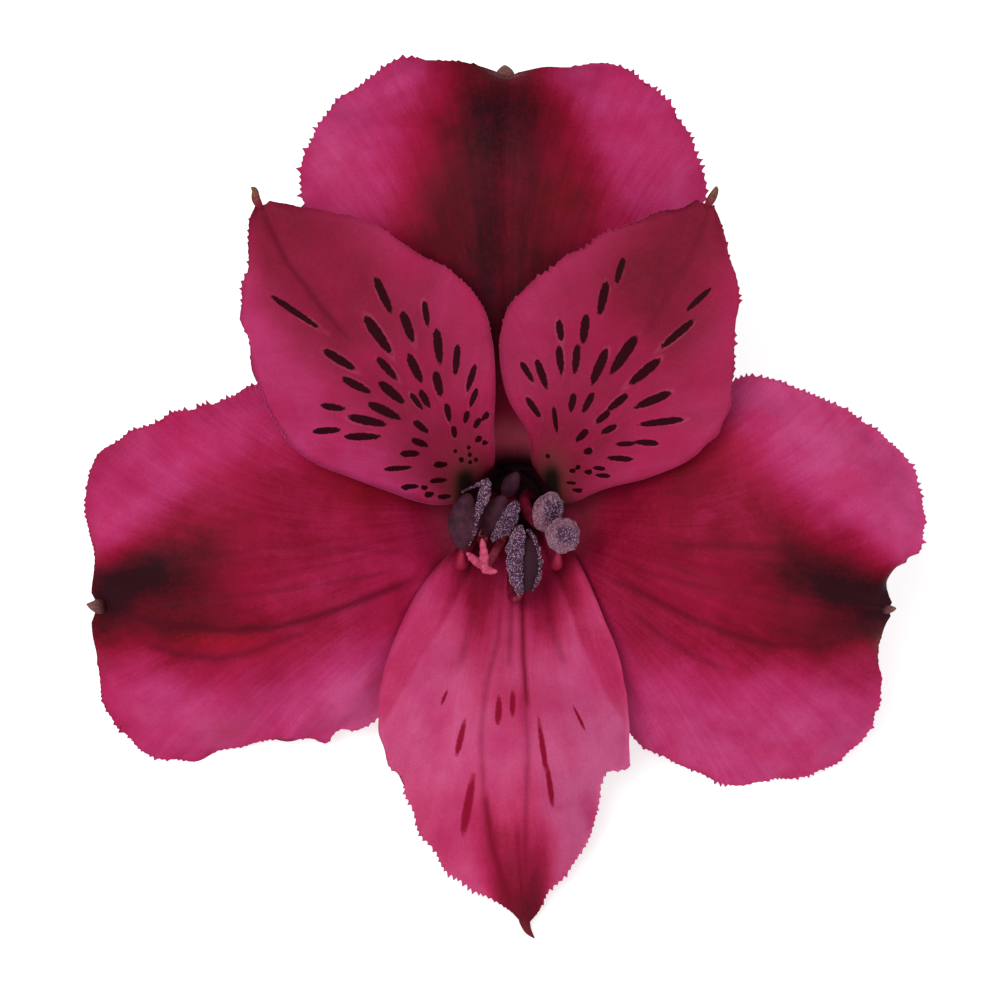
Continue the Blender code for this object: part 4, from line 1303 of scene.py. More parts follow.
INNER_TEPALS = (
    Tepal(
        "inner_tepal_left", 150, **UPPER_PAIR,
        midrib=((-3.1, 1.7, 5.5), (-3.9, 1.9, 10.5), (-6.8, 5.2, 15), (-10.6, 10, 18.8), (-15, 15.8, 21.8),
                (-18.8, 20.8, 23.6), (-21.2, 25.3, 24.4)),
        left=((-3.7, 0.1, 5.8), (-4.9, 0, 12.2), (-8.2, 0.1, 15.2), (-12.7, 1.6, 17.8), (-17.1, 3.5, 19.6),
              (-20.2, 7.2, 20.8), (-21.5, 11.4, 21.4), (-22.4, 14.9, 22.2), (-21.7, 18.6, 23),
              (-21.4, 21.4, 23.6), (-20.9, 23.5, 24)),
        right=((-2, 2.6, 5.8), (-2, 3, 12), (-1.9, 5.6, 15.6), (-1.6, 8.8, 18.6), (-1.8, 12.4, 20.4),
               (-2.5, 15.8, 21.4), (-5, 18.3, 22), (-8.2, 20.2, 22.7), (-11.6, 22.4, 23.3),
               (-15, 23.3, 23.8), (-18.7, 23.8, 24.2)),
        band=(INNER_OUTSIDE, INNER_INSIDE), lobe_tone=(0.1, 0.3), seed=13, fringe=0.26, tooth=0.5,
        lap=-0.14, aim=(-4.2, 2.2, 114),
        horn=((-20.5, 23.5, 24.1), (-20.95, 24.3, 24.3), (-21.05, 25, 24.4), (-21.35, 25.3, 24.5)),
        pit=(-4.05, 1.5, 0.95, 1.25), spots=LEFT_SPOTS,
        strokes=(Stroke(((-21, 24.2), (-18.6, 19.4), (-16, 16), (-13, 12.5)), 0.25, 0.6, 0.1),),
        nicks=(Nick((-21.9, 21.5), -0.35, 2), Nick((-22.2, 17.5), -0.35, 1.4), Nick((-22, 13.6), 0.45, 1.2),
               Nick((-19, 24), -0.4, 1.5))),
    Tepal(
        "inner_tepal_right", 30, **UPPER_PAIR,
        midrib=((2.8, 1.7, 5.5), (2.9, 1.8, 10.5), (5.2, 5, 15), (8.2, 9.8, 18.8), (11.6, 15.6, 21.6),
                (14.5, 20.8, 23.2), (16.2, 25.3, 24)),
        left=((1.9, 2.6, 5.8), (1.6, 3, 11.6), (1.2, 5.4, 14.8), (-0.6, 8.4, 17.4), (-1.3, 12, 19),
              (-0.9, 15.4, 20.2), (1.6, 18, 21.2), (4.4, 20.1, 21.8), (7.4, 22, 22.5), (10.6, 23.1, 23.1),
              (13.6, 23.8, 23.6)),
        right=((3.4, 0.1, 5.8), (4.3, 0, 12), (7, 0.9, 15), (10.8, 1.8, 17.6), (14.7, 3.6, 19.4),
               (17.3, 6.9, 20.6), (17.8, 10.8, 21.4), (18.3, 14.4, 22), (18.1, 17.4, 22.6),
               (17.2, 20.6, 23), (16.5, 23, 23.5)),
        band=(INNER_INSIDE, INNER_OUTSIDE), lobe_tone=(0.3, 0.3), seed=17, fringe=0.34, tooth=0.54,
        lap=-0.16, aim=(3.1, 2.2, 66), blotch=((11.5, 17, 4, 6, 0.12, 30),),
        horn=((15.4, 23.6, 23.6), (15.9, 24.4, 23.9), (16.2, 25, 24), (16.3, 25.4, 24)),
        pit=(3, 1.7, 0.92, 1.35), spots=RIGHT_SPOTS,
        strokes=(Stroke(((16.1, 24.2), (14.2, 19.6), (12.4, 16.5), (10, 12.5)), 0.25, 0.35, 0.08),),
        nicks=(Nick((18.2, 14), 0.35, 1), Nick((16.9, 23), -0.35, 1.2))),
    Tepal(
        "inner_tepal_lower", 270, **INNER_WHORL,
        midrib=((0, -3.6, 5.5), (0, -6, 10.5), (-0.2, -10.2, 15.2), (-0.5, -15.6, 18.6), (-0.6, -22, 20.8),
                (0, -28.8, 21.6), (0.85, -34.9, 20.6)),
        left=((1.9, -2.9, 5.8), (4, -4.4, 11.4), (6.3, -7.9, 14.2), (8.1, -11.8, 15.2), (9.1, -15.8, 15.4),
              (9.5, -19.2, 15.6), (9.4, -21.8, 15.9), (7.5, -23.1, 16.6), (6.9, -26.2, 17.4),
              (5.6, -29.3, 18.2), (3.2, -31.9, 19.3), (1.75, -33.6, 20)),
        right=((-1.9, -2.9, 5.8), (-4.4, -4.5, 11.6), (-7.8, -7.9, 14.2), (-10.1, -11.8, 15),
               (-11, -15.6, 15.2), (-11.3, -19, 15.4), (-10.2, -21.7, 15.8), (-9, -24.4, 16.4),
               (-7.7, -27.2, 17.1), (-6.4, -29.8, 17.9), (-3.8, -31.9, 19), (-0.5, -33.5, 20)),
        finish=LOWER_FINISH, band=(LOWER_BAND, LOWER_BAND), midrib_tone=LOWER_TONES, lobe_tone=(0.05, 0.12),
        seed=21, rows=180, columns=110, fringe=0.5, tooth=0.52, fringe_from=0.5, lap=-0.14, ruffle=0.18,
        groove=0.1, fan=1.45, blade_end=0.985,
        blotch=((-6.2, -27.5, 3.4, 4, 0.2), (4.8, -28.5, 2.6, 3, 0.08), (-3.2, -8.5, 1.6, 4, 0.26, 10),
                (2.4, -8.8, 1.6, 4, 0.26, -8), (0, -16.8, 2.2, 2.4, 0.26), (2.4, -26, 1.8, 2.4, -0.14),
                (6.4, -26, 2, 3, -0.34), (8, -13.6, 1.6, 4, 0.14), (-3, -14, 1.4, 2, 0.08),
                (0, -10, 1.8, 1.8, -0.14), (7.8, -20.4, 2, 2.4, -0.1)),
        horn=((0.45, -33.4, 20.3), (0.75, -34.3, 20.5), (1.05, -35.1, 20.6), (1.6, -35.75, 20.7)),
        horn_radii=(0.36, 0.44, 0.3, 0.08),
        strokes=(Stroke(((-1.1, -7), (-1.3, -11), (-2.3, -15), (-2.8, -19), (-2.6, -24), (-2, -28),
                         (-1.1, -31), (0.5, -34.4)), 0.24, 0.4, 0.16),
                 Stroke(((-2.6, -23.5), (-2, -28), (-1.1, -31), (0.4, -34.2)), 0.4, 0.75, 0.1),
                 Stroke(((0.5, -5.5), (0.6, -9), (0.7, -13), (1.1, -18)), 0.24, 0.9, 0.14),
                 Stroke(((0.7, -14), (1.1, -20), (1, -24), (0.9, -28), (1, -32)), 0.26, 0.4, 0.14),
                 Stroke(((0.2, -26), (0.3, -29), (0.7, -33)), 0.25, 0.4, 0.06),
                 Stroke(((-3.1, -7), (-3.6, -10), (-4.6, -14)), 0.35, 0.4, 0.1),
                 Stroke(((-0.3, -7), (-0.3, -10), (-0.5, -14)), 0.25, 0.5, 0.1),
                 Stroke(((2.3, -6), (3, -10), (4.2, -14)), 0.35, 0.4, 0.1)),
        flecks=(Fleck((-6.1, -16.9), (-5.5, -15.5), 0.3), Fleck((-4.8, -21), (-4.1, -18), 0.55),
                Fleck((-4.3, -27.5), (-3.4, -22.5), 0.75), Fleck((-1.4, -18.5), (-1.3, -16), 0.6),
                Fleck((-0.2, -17.8), (-0.2, -15.5), 0.5), Fleck((3.1, -25.2), (2.6, -21.5), 0.5),
                Fleck((2.6, -22.5), (1.9, -17.8), 0.5), Fleck((5.8, -19), (4.7, -16.7), 0.3)),
        nicks=(Nick((8, -22.7), 0.45, 0.4), Nick((9.3, -21.9), -0.3, 0.4), Nick((-9.3, -23.2), 0.7, 0.9),
               Nick((-7.2, -27), -0.25, 1.4), Nick((-6.6, -29.2), 0.4, 0.7)),
        under=(((-10.8, -18.6), (-8, -13.5), (-5.5, -9.5), (-3.8, -6)),
               ((3, -5.5), (4, -7.5), (5.5, -12), (7.5, -16), (9.4, -19.2)))),
)


# ---- Stamens ----


@dataclass(frozen=True)
class Lobe:
    """One rounded part of an anther, along a route; pollen is how thickly grains lie on it, 0 to 1."""

    route: tuple
    radii: tuple
    pollen: float
    flat: float = 0.8
    blunt: float = 2.4
    pale: float = 0.0
    # How much painted shade darkens the lobe: the dark split of an opened anther, or an anther deep in the
    # throat.
    slit: float = 0.0


@dataclass(frozen=True)
class Stamen:
    """A filament from the seat to its anther, and the lobes that the anther is made of."""

    name: str
    angle: float
    route: tuple
    lobes: tuple
    seed: int
    girth: float = 1.0
    flush: float = 1.0


STAMENS = (
    Stamen("left", 210,
           ((-1.9, -1.4, 5), (-2.9, -2.4, 9.2), (-4, -3.9, 12.4), (-4.45, -5.3, 14.6), (-4.35, -4.3, 16.2)),
           (Lobe(((-4.35, -4.1, 16.4), (-4.2, -1.8, 16.8), (-3.85, 0.6, 16.9)), (0.95, 1.32, 0.85), 0,
                 0.55),
            Lobe(((-2.1, 1.5, 17.3), (-2.5, 0.5, 17.5), (-3, -0.8, 17.5), (-3.3, -2.4, 17.45),
                  (-3.9, -4, 17.1)), (0.36, 0.48, 0.34, 0.2, 0.14), 1, 0.9, 5),
            Lobe(((-4.5, 0.6, 17.3), (-3.8, 0.95, 17.5), (-3, 1.3, 17.45), (-2.2, 1.6, 17.3)),
                 (0.12, 0.15, 0.2, 0.3), 1, 0.9, 8)), 1),
    Stamen("middle_left", 150,
           ((-1.8, 0.1, 5), (-2.1, -1.2, 8.6), (-2.4, -2.4, 11.2), (-2.7, -3.3, 12.8), (-2.3, -3.1, 13.6)),
           (Lobe(((-2.5, -2.9, 13.9), (-1.7, -1.3, 14.5), (-0.8, 0.4, 15.2)), (0.75, 1.05, 0.75), 0, 0.7),
            Lobe(((-1.9, -3.45, 14.5), (-1.05, -2.35, 15), (-0.35, -1.3, 15.4), (0.2, -0.1, 15.7)),
                 (0.4, 0.64, 0.72, 0.5), 1, 0.8)), 2, 0.85, 0.6),
    # The lower anther's third lobe is its dark split, drawn in painted shade.
    Stamen("lower", 270,
           ((0.1, -2, 5), (0.1, -3.8, 10), (-0.3, -6.2, 14.4), (-0.1, -8.1, 16.7), (0.7, -7.5, 17.6)),
           (Lobe(((0.55, -2.1, 18.2), (0.1, -3.6, 18.4), (0, -5.6, 18.4), (0.45, -7.9, 18)),
                 (0.55, 0.72, 0.66, 0.45), 1, 0.85, 3),
            Lobe(((1, -2.3, 18), (1.75, -3.7, 18.2), (2.05, -5.2, 18.2), (1.85, -6.6, 18),
                  (1.15, -7.8, 17.8)), (0.24, 0.2, 0.17, 0.16, 0.12), 0.8, 1.2, 8),
            Lobe(((0.9, -3, 17.7), (1.15, -5, 17.7), (0.9, -7.6, 17.6)), (0.7, 1, 0.6), 0, 0.5, slit=1)), 3,
           0.75, 0.3),
    Stamen("middle_right", 30,
           ((1.5, 0.4, 5), (1, 0.5, 8.6), (0.8, -0.1, 11.4), (1.35, -1.4, 13.1), (2.2, -2.4, 14.2)),
           (Lobe(((2.3, -2.6, 14.4), (2.7, -1, 15.4), (3.15, 0.6, 16.4)), (0.85, 1.2, 0.85), 1, 0.85,
                 pale=0.8),
            Lobe(((2.8, -1.8, 15.6), (3.1, -0.6, 16.3), (3.25, 0.3, 16.8)), (0.6, 0.9, 0.6), 1, 0.9)), 4,
           0.9, 0.4),
    Stamen("right", 330,
           ((1.8, -1.4, 5), (2.6, -2.4, 9.2), (3.2, -4.1, 12.6), (3.4, -5.3, 14.4), (3.6, -4.3, 15.8)),
           (Lobe(((3.75, -3.9, 16.2), (3.95, -2.9, 17.6), (4.25, -1.9, 19)), (1, 1.38, 0.95), 1, 1,
                 pale=0.8),
            Lobe(((4.1, -3.2, 17.8), (4.15, -2.6, 18.8), (4.25, -2, 19.3)), (0.7, 0.95, 0.6), 1, 1)), 5),
    # The upper anther sits deep in the throat, and half of its colour is painted shade.
    Stamen("upper", 90, ((0, 1.5, 4), (-0.2, 0.9, 7), (-0.6, 0.3, 9.2), (-0.7, 0.2, 10.8)),
           (Lobe(((-0.8, 0.1, 11.2), (-0.4, 1.1, 12.2), (0.25, 2.3, 13)), (0.5, 0.74, 0.55), 0, 0.85,
                 slit=0.5),), 6),
)


class PollenDusting:
    """Scatters grains of pollen where a mesh's field pollen is high, as one Geometry Nodes tree."""

    GRAIN_RADIUS = 0.042
    SPACING = 0.08
    DENSITY = 380.0

    def __init__(self) -> None:
        """Builds the tree, with named inputs for the grains' size, spacing, number, seed and material."""
        tree = bpy.data.node_groups.new("pollen dusting", "GeometryNodeTree")
        face = tree.interface
        face.new_socket("Geometry", in_out="OUTPUT", socket_type="NodeSocketGeometry")
        kinds = (("Geometry", "Geometry"), ("Grain Radius", "Float"), ("Spacing", "Float"),
                 ("Density", "Float"), ("Seed", "Int"), ("Material", "Material"))
        self.inputs = {name: face.new_socket(name, in_out="INPUT", socket_type=f"NodeSocket{kind}").identifier
                       for name, kind in kinds}
        self.tree = tree
        given = self.node("NodeGroupInput").outputs
        pollen = self.node("GeometryNodeInputNamedAttribute", {"data_type": "FLOAT"},
                           {"Name": "pollen"}).outputs
        spots = self.node("GeometryNodeDistributePointsOnFaces", {"distribute_method": "POISSON"}, {
            "Mesh": given["Geometry"], "Distance Min": given["Spacing"], "Density Max": given["Density"],
            "Density Factor": pollen["Attribute"], "Seed": given["Seed"]}).outputs
        grain = self.node("GeometryNodeMeshIcoSphere", None,
                          {"Radius": given["Grain Radius"], "Subdivisions": 1}).outputs
        size = self.random("FLOAT", 0.65, 1.25, given["Seed"])
        turn = self.random("FLOAT_VECTOR", (0.0, 0.0, 0.0), (math.tau,) * 3, given["Seed"])
        placed = self.node("GeometryNodeInstanceOnPoints", None, {
            "Points": spots["Points"], "Instance": grain["Mesh"], "Rotation": turn, "Scale": size}).outputs
        tinted = self.node("GeometryNodeStoreNamedAttribute", {"data_type": "FLOAT", "domain": "INSTANCE"}, {
            "Geometry": placed["Instances"], "Name": "tint",
            "Value": self.random("FLOAT", 0.0, 1.0, given["Seed"])}).outputs
        real = self.node("GeometryNodeRealizeInstances", None, {"Geometry": tinted["Geometry"]}).outputs
        dressed = self.node("GeometryNodeSetMaterial", None,
                            {"Geometry": real["Geometry"], "Material": given["Material"]}).outputs
        self.node("NodeGroupOutput", None, {"Geometry": dressed["Geometry"]})

    def node(self, kind: str, settings: dict | None = None, inputs: dict | None = None) -> bpy.types.Node:
        """Adds a node with its settings, and the value or link of each of its sockets."""
        made = self.tree.nodes.new(kind)
        for name, value in (settings or {}).items():
            setattr(made, name, value)
        for name, value in (inputs or {}).items():
            socket = next(s for s in made.inputs if s.name == name and s.enabled)
            if isinstance(value, bpy.types.NodeSocket):
                self.tree.links.new(value, socket)
            else:
                socket.default_value = value
        return made

    def random(self, kind: str, low, high, seed: bpy.types.NodeSocket) -> bpy.types.NodeSocket:
        """A random value for each grain, between low and high."""
        made = self.node("FunctionNodeRandomValue", {"data_type": kind},
                         {"Min": low, "Max": high, "Seed": seed})
        return next(s for s in made.outputs if s.enabled)

    def dust(self, anther: bpy.types.Object, name: str, seed: int,
             material: bpy.types.Material) -> bpy.types.Object:
        """Makes the grains that lie on an anther.

        Args:
            anther: The anther, whose mesh has the field pollen.
            name: The new piece's name.
            seed: Fixes where the grains lie.
            material: The grains' material.

        Returns:
            The grains, as one piece.
        """
        modifier = anther.modifiers.new("pollen", "NODES")
        modifier.node_group = self.tree
        values = {"Grain Radius": self.GRAIN_RADIUS * MM, "Spacing": self.SPACING * MM,
                  "Density": self.DENSITY / MM**2, "Seed": seed, "Material": material}
        for label, value in values.items():
            modifier[self.inputs[label]] = value
        bpy.context.view_layer.update()
        grains = bpy.data.meshes.new_from_object(anther.evaluated_get(bpy.context.evaluated_depsgraph_get()))
        anther.modifiers.remove(modifier)
        grains.shade_smooth()
        return new_piece(name, grains, material)


@dataclass
class Androecium:
    """The six stamens: filaments, anthers and pollen."""

    stamens: tuple = STAMENS
    filament_radii: tuple = (0.42, 0.43, 0.45, 0.5, 0.55, 0.28)
    voxel: float = 0.075
    blend: float = 0.06
    crumples: tuple = ((30, 0.9, 0.035), (60, 0.4, 0.02))
    dusting: PollenDusting = field(default_factory=PollenDusting)

    def filament(self, stamen: Stamen, frame: BlossomFrame, material: bpy.types.Material) -> bpy.types.Object:
        """Builds a filament from the seat into its anther's foot."""
        shell = Shell()
        route = (on_ring(STAMEN_RING, stamen.angle), *stamen.route)
        radii = stamen.girth * np.array(self.filament_radii)
        add_rod(shell, route, radii, sides=20, rings=60, blunt=14.0)
        points = shell.all_points()
        points += 0.02 * Ripple(stamen.seed, 1.3).at(points)[:, None]
        rise = stamen.flush * ease(3.0, 16.0, points[:, 2])
        mesh = shell.mesh(f"filament_{stamen.name}", frame.place(points), {"rise": rise})
        piece = new_piece(f"filament_{stamen.name}_stalk", mesh, material)
        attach(piece, "root")
        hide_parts(f"filament_{stamen.name}")
        return piece

    def anther(self, stamen: Stamen, frame: BlossomFrame, material: bpy.types.Material) -> bpy.types.Object:
        """Builds an anther: its lobes melted together, with a dry crumpled skin."""
        shell = Shell()
        for lobe in stamen.lobes:
            add_rod(shell, lobe.route, lobe.radii, sides=28, rings=36, blunt=lobe.blunt, flat=lobe.flat)
        skin = fused(shell, self.voxel, 2)
        points = points_of(skin)
        share = np.linspace(0, 1, 24)
        gaps = np.array([(np.linalg.norm(points[:, None] - through(lobe.route, share), axis=2)
                          - through(lobe.radii, share)).min(1) for lobe in stamen.lobes])
        weights = np.exp((gaps.min(0) - gaps) / self.blend)
        fields = {}
        for name in ("pollen", "pale", "slit"):
            given = [np.full(len(points), float(getattr(lobe, name))) for lobe in stamen.lobes]
            fields[name] = np.average(given, axis=0, weights=weights)
        crumple = sum(Ripple(stamen.seed + more, wavelength).at(points) * depth
                      for more, wavelength, depth in self.crumples)
        points += normals_of(skin) * (crumple * (0.3 + fields["pollen"]))[:, None]
        thin = np.clip(0.9 + 0.25 * Ripple(stamen.seed + 80, 1.1).at(points), 0.5, 1.0)
        fields["pollen"] = fields["pollen"] * thin
        move_points(skin, frame.place(points))
        for name, values in fields.items():
            set_field(skin, name, values)
        skin.shade_smooth()
        return new_piece(f"anther_{stamen.name}_walls", skin, material)

    def build(self, frame: BlossomFrame) -> list:
        """Builds all six stamens.

        Args:
            frame: Where the blossom lies.

        Returns:
            The pieces.
        """
        filament_skin = FILAMENT_FINISH.material("filament_flesh")
        anther_skin = ANTHER_FINISH.material("anther_wall")
        grain_skin = POLLEN_FINISH.material("pollen_grain")
        pieces = []
        for stamen in self.stamens:
            pieces.append(self.filament(stamen, frame, filament_skin))
            anther = self.anther(stamen, frame, anther_skin)
            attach(anther, "root")
            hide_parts(f"anther_{stamen.name}")
            pieces.append(anther)
            if any(lobe.pollen for lobe in stamen.lobes):
                pollen = self.dusting.dust(anther, f"pollen_{stamen.name}", stamen.seed, grain_skin)
                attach(pollen, "root")
                pieces.append(pollen)
        return pieces


# ---- Style, ovary and stalk ----


@dataclass
class Pistil:
    """The style with its three stigma branches, and the ribbed ovary below the tepals."""

    style_route: tuple = ((0.0, -0.3, 4.6), (-0.4, -1.7, 8.6), (-1.4, -3.9, 12.4), (-2.2, -5.2, 15.0),
                          (-2.6, -5.5, 16.6))
    fork: tuple = (-2.6, -5.5, 16.3)
    branches: tuple = (((-3.2, -5.0, 17.4), (-4.0, -4.3, 18.4)), ((-2.5, -4.6, 17.2), (-2.75, -3.1, 18.0)),
                       ((-2.2, -5.8, 17.0), (-1.4, -5.85, 17.5)))
    style_radii: tuple = (0.42, 0.42, 0.4, 0.38, 0.36, 0.34)
    branch_radii: tuple = (0.32, 0.4, 0.34, 0.2)
    top_radius: float = 3.7
    full_radius: float = 3.95
    foot_radius: float = 1.35
    swell: float = 0.9
    shoulder: float = 0.85
    ribs: int = 6
    rib_depth: float = 0.1

    def style(self, frame: BlossomFrame) -> bpy.types.Object:
        """Builds the style and its stigma as one skin."""
        shell = Shell()
        add_rod(shell, ((0.0, 0.0, SEAT_HEIGHT), *self.style_route), self.style_radii,
                sides=20, rings=60, blunt=14.0)
        for branch in self.branches:
            add_rod(shell, (self.fork, *branch), self.branch_radii, sides=18, rings=24, blunt=6.0, flat=0.7)
        skin = fused(shell, 0.08, 3)
        points = points_of(skin)
        roughness = 0.03 * Ripple(71, 0.5).at(points) * ease(15.5, 17.0, points[:, 2])
        points += normals_of(skin) * roughness[:, None]
        set_field(skin, "rise", ease(11.0, 16.5, points[:, 2]))
        move_points(skin, frame.place(points))
        skin.shade_smooth()
        piece = new_piece("style_and_stigma", skin, STYLE_FINISH.material("style_flesh"))
        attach(piece, "root")
        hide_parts("style")
        return piece

    def outline(self, share: np.ndarray) -> np.ndarray:
        """The ovary's radius from its foot, share 0, to its flat top, share 1."""
        bulge = np.sin(np.pi / 2 * np.minimum(1.0, share / self.shoulder) ** self.swell)
        over = np.maximum(0.0, share - self.shoulder) / (1 - self.shoulder)
        return (self.foot_radius + (self.full_radius - self.foot_radius) * bulge
                - (self.full_radius - self.top_radius) * over)

    def ovary(self, frame: BlossomFrame) -> bpy.types.Object:
        """Builds the ovary: a ribbed body with a slightly dished top."""
        shell = Shell()
        share = np.linspace(0.0, 1.0, 61)[:, None]
        turn = np.linspace(0, 2 * np.pi, 145)[None, :-1]
        wave = np.cos(self.ribs * turn)
        crest = np.sign(wave) * np.abs(wave) ** 0.8
        radius = self.outline(share) * (1 + self.rib_depth * np.sin(np.pi * share) * (crest - 0.05)) * 0.995
        height = (share - 1) * OVARY_LENGTH + 0 * turn
        body = np.stack((radius * np.cos(turn), radius * np.sin(turn), height), -1)
        unevenness = np.stack([Ripple(81 + k, 2.2).at(body) for k in range(3)], -1)
        body += 0.04 * unevenness * np.sin(np.pi * share)[..., None]
        closed = shell.ring(body, crest=wave * 0.5 + 0.5, flush=ease(0.5, 1.0, share) * 0.5)
        shell.grid(closed)
        for end, flip in ((-1, False), (0, True)):
            rings = [closed[end]]
            for inward in (0.7, 0.35):
                ring = body[end] * (inward, inward, 1.0)
                ring[:, 2] -= 0.02 * (end == -1)
                rings.append(shell.ring(ring, crest=0.5, flush=0.5))
            for one, other in zip(rings, rings[1:]):
                shell.strip(one, other, flip=flip)
            centre = shell.add(np.array([[0.0, 0.0, body[end, 0, 2]]]), crest=0.5, flush=0.5)
            shell.fan(rings[-1], centre, flip)
        fields = {name: shell.field(name) for name in ("crest", "flush", "cut")}
        places = shell.all_points()
        # The flat top, deep in the throat, gets painted shade.
        fields["hollow"] = ease(-0.45, -0.2, places[:, 2])
        mesh = shell.mesh("ovary_body", frame.place(places), fields)
        piece = new_piece("ovary_body", mesh, GREEN_FINISH.material("ovary_skin"))
        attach(piece, "root")
        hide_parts("ovary")
        return piece

    def build(self, frame: BlossomFrame) -> list:
        """Builds the style and the ovary."""
        return [self.style(frame), self.ovary(frame)]


@dataclass
class Stalk:
    """The short stalk left by picking, with its cut end."""

    radius: float = 1.15
    sides: int = 40
    rings: int = 24
    ridges: int = 5
    ridge_depth: float = 0.035
    collar: float = 0.25

    def build(self, frame: BlossomFrame) -> list:
        """Builds the stalk.

        Args:
            frame: Where the blossom lies.

        Returns:
            The one piece.
        """
        shell = Shell()
        top = -OVARY_LENGTH + 0.1
        foot = -OVARY_LENGTH - 0.4 - PEDICEL_LENGTH
        share = np.linspace(0, 1, self.rings + 1)
        knots = ((0.0, 0.0, top), (0.0, PEDICEL_BEND * 0.3, (top + foot) / 2), (0.0, PEDICEL_BEND, foot))
        route = through(knots, share)
        turn = np.linspace(0, 2 * np.pi, self.sides + 1)[:-1]
        wave = np.cos(self.ridges * turn)[None]
        ridge = 1 + self.ridge_depth * wave + self.collar * ease(0.15, 0.0, share)[:, None]
        radius = self.radius * ridge * 0.97
        body = route[:, None] + np.stack((radius * np.cos(turn), radius * np.sin(turn), 0 * radius), -1)
        closed = shell.ring(body, crest=0.5 + 0.5 * wave, flush=0.25)
        shell.grid(closed, flip=True)
        for end, flip in ((0, True), (-1, False)):
            cut = float(end == -1)
            inner = [shell.ring(body[end], cut=cut, crest=0.3)]
            for inward in (0.9, 0.6, 0.3):
                ring = route[end] + (body[end] - route[end]) * inward
                ring = ring + (0, 0, 1) * (0.05 * Ripple(95, 0.8).at(ring) * (1 - inward))[:, None]
                inner.append(shell.ring(ring, cut=cut))
            shell.strip(closed[end], inner[0], flip=flip)
            for one, other in zip(inner, inner[1:]):
                shell.strip(one, other, flip=not flip)
            shell.fan(inner[-1], shell.add(route[end][None], cut=cut), flip)
        fields = {name: shell.field(name) for name in ("crest", "flush", "cut")}
        mesh = shell.mesh("pedicel_stub", frame.place(shell.all_points()), fields)
        piece = new_piece("pedicel_stub", mesh, GREEN_FINISH.material("pedicel_skin"))
        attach(piece, "root")
        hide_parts("pedicel")
        return [piece]


# ---- Studio ----


class Lamp(Enum):
    """The soft lamps: direction in the flower's frame, distance and size in metres, power in watts."""

    KEY = ((-0.3, 0.15, 1.0), 1.2, 0.7, 7.0)
    FILL = ((0.25, -0.5, 0.8), 1.4, 1.2, 3.0)


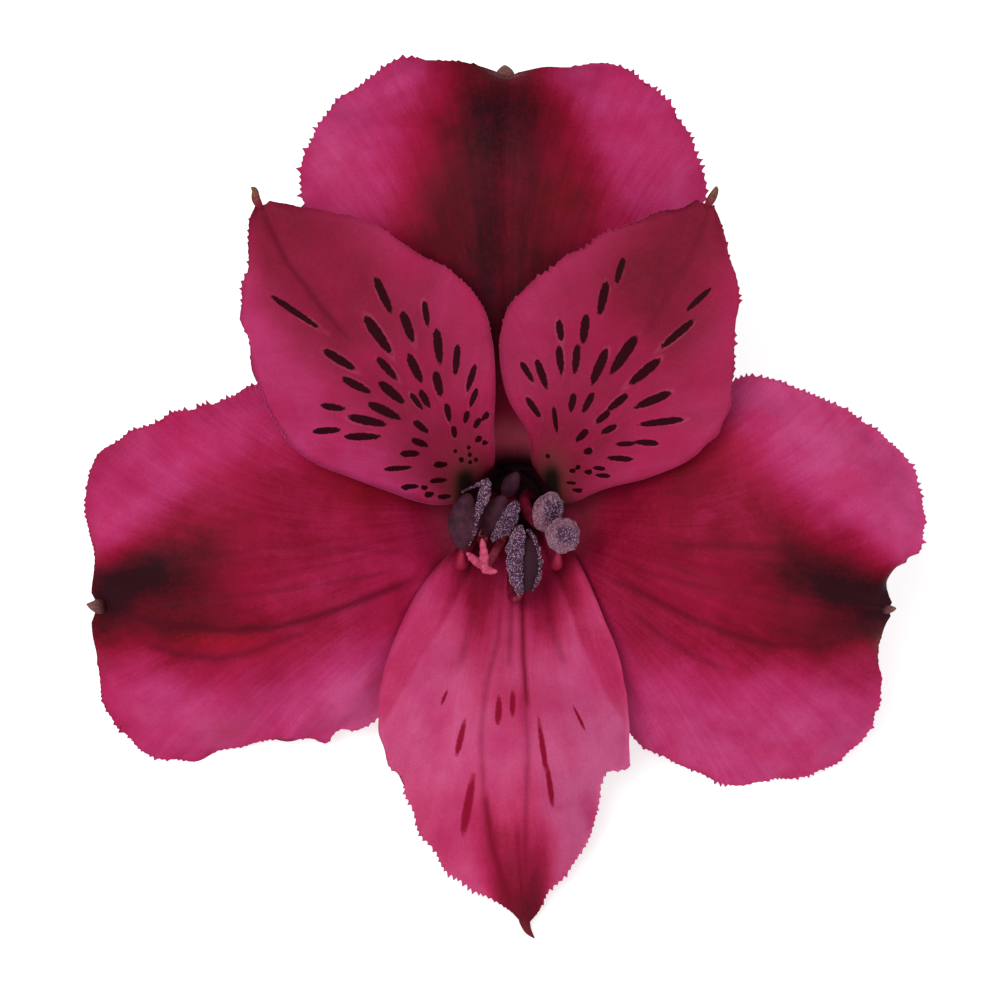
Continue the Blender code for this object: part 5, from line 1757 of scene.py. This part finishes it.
@dataclass
class Studio:
    """A plain pale floor, soft even light and the camera that looks into the flower."""

    sky: float = 0.38
    floor_size: float = 6.0
    lens: float = 200.0
    sensor: float = 36.0

    def floor(self) -> None:
        """Lays the floor: pale by its own light, white in view, with the blossom's soft shadow on it."""
        half = self.floor_size / 2
        mesh = bpy.data.meshes.new("floor")
        corners = [(-half, -half, 0), (half, -half, 0), (half, half, 0), (-half, half, 0)]
        mesh.from_pydata(corners, [], [(0, 1, 2, 3)])
        tree = ShaderTree("pale_floor")
        ray = tree.node("ShaderNodeLightPath")
        seen = ray["Is Camera Ray"].math("MAXIMUM", ray["Is Camera Ray"], ray["Is Glossy Ray"])
        seen = seen.math("MAXIMUM", seen, ray["Is Transmission Ray"])
        plain = tree.node("ShaderNodeBsdfDiffuse", None, {"Color": (0.8, 0.8, 0.8, 1)})["BSDF"]
        white = tree.node("ShaderNodeBsdfDiffuse", None, {"Color": (1, 1, 1, 1)})["BSDF"]
        glow = tree.node("ShaderNodeEmission", None, {"Color": (1, 1, 1, 1), "Strength": 0.6})["Emission"]
        shown = tree.node("ShaderNodeAddShader", None, {0: white, 1: glow})["Shader"]
        mixed = tree.node("ShaderNodeMixShader", None, {0: seen, 1: plain, 2: shown})["Shader"]
        tree.feed(tree.output.inputs["Surface"], mixed)
        new_piece("floor", mesh, tree.material)

    def world(self) -> None:
        """Lights everything evenly, and shows white beyond the floor."""
        world = bpy.data.worlds.new("soft light")
        bpy.context.scene.world = world
        world.use_nodes = True
        nodes, links = world.node_tree.nodes, world.node_tree.links
        nodes.clear()
        ray = nodes.new("ShaderNodeLightPath")
        light, shown = nodes.new("ShaderNodeBackground"), nodes.new("ShaderNodeBackground")
        light.inputs["Strength"].default_value = self.sky
        for node in (light, shown):
            node.inputs["Color"].default_value = (1, 1, 1, 1)
        mix, output = nodes.new("ShaderNodeMixShader"), nodes.new("ShaderNodeOutputWorld")
        links.new(ray.outputs["Is Camera Ray"], mix.inputs[0])
        links.new(light.outputs[0], mix.inputs[1])
        links.new(shown.outputs[0], mix.inputs[2])
        links.new(mix.outputs[0], output.inputs["Surface"])

    def lamps(self, frame: BlossomFrame) -> None:
        """Hangs the soft lamps."""
        for lamp in Lamp:
            way, distance, size, power = lamp.value
            way = frame.turn @ (np.array(way) / np.linalg.norm(way))
            data = bpy.data.lights.new(lamp.name.lower(), "AREA")
            data.shape = "DISK"
            data.size = size
            data.energy = power
            made = bpy.data.objects.new(lamp.name.lower(), data)
            made.location = way * distance
            made.rotation_euler = vector_to_euler(way)
            bpy.context.scene.collection.objects.link(made)

    def camera(self, frame: BlossomFrame) -> None:
        """Looks straight into the flower."""
        data = bpy.data.cameras.new("camera")
        data.lens = self.lens
        data.sensor_width = self.sensor
        data.clip_start = 0.01
        made = bpy.data.objects.new("camera", data)
        made.location = frame.turn @ np.array((EYE_X, 0.0, FACE_HEIGHT + SIGHT)) * MM + frame.seat
        made.rotation_euler = Euler((math.radians(LEAN), math.radians(ROLL), 0.0))
        bpy.context.scene.collection.objects.link(made)
        bpy.context.scene.camera = made

    def build(self, frame: BlossomFrame) -> None:
        """Sets up the studio.

        Args:
            frame: Where the blossom lies.
        """
        self.floor()
        self.world()
        self.lamps(frame)
        self.camera(frame)
        bpy.context.scene.view_settings.view_transform = "Standard"


def vector_to_euler(way: np.ndarray) -> Euler:
    """The turn of a lamp that hangs in this direction and shines back along it."""
    flat = math.hypot(way[0], way[1])
    return Euler((math.atan2(flat, way[2]), 0.0, math.atan2(way[0], -way[1])))


def report(pieces: list) -> None:
    """Logs each piece with its number of triangles."""
    for piece in pieces:
        piece.data.calc_loop_triangles()
        log.info("%s: %d triangles", piece.name, len(piece.data.loop_triangles))
    log.info("total: %d triangles", sum(len(piece.data.loop_triangles) for piece in pieces))


def main(packed: dict) -> None:
    """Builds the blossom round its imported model, and the studio round the blossom.
    """
    logging.basicConfig(level=logging.INFO, format="%(message)s")
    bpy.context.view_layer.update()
    blossom = BlossomFrame(packed["nodes"]["ovary"])
    pieces = [tepal.build(blossom) for tepal in OUTER_TEPALS + INNER_TEPALS]
    pieces += Androecium().build(blossom)
    pieces += Pistil().build(blossom)
    pieces += Stalk().build(blossom)
    report(pieces)
    Studio().build(blossom)


if __name__ == "__main__":
    main(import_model())
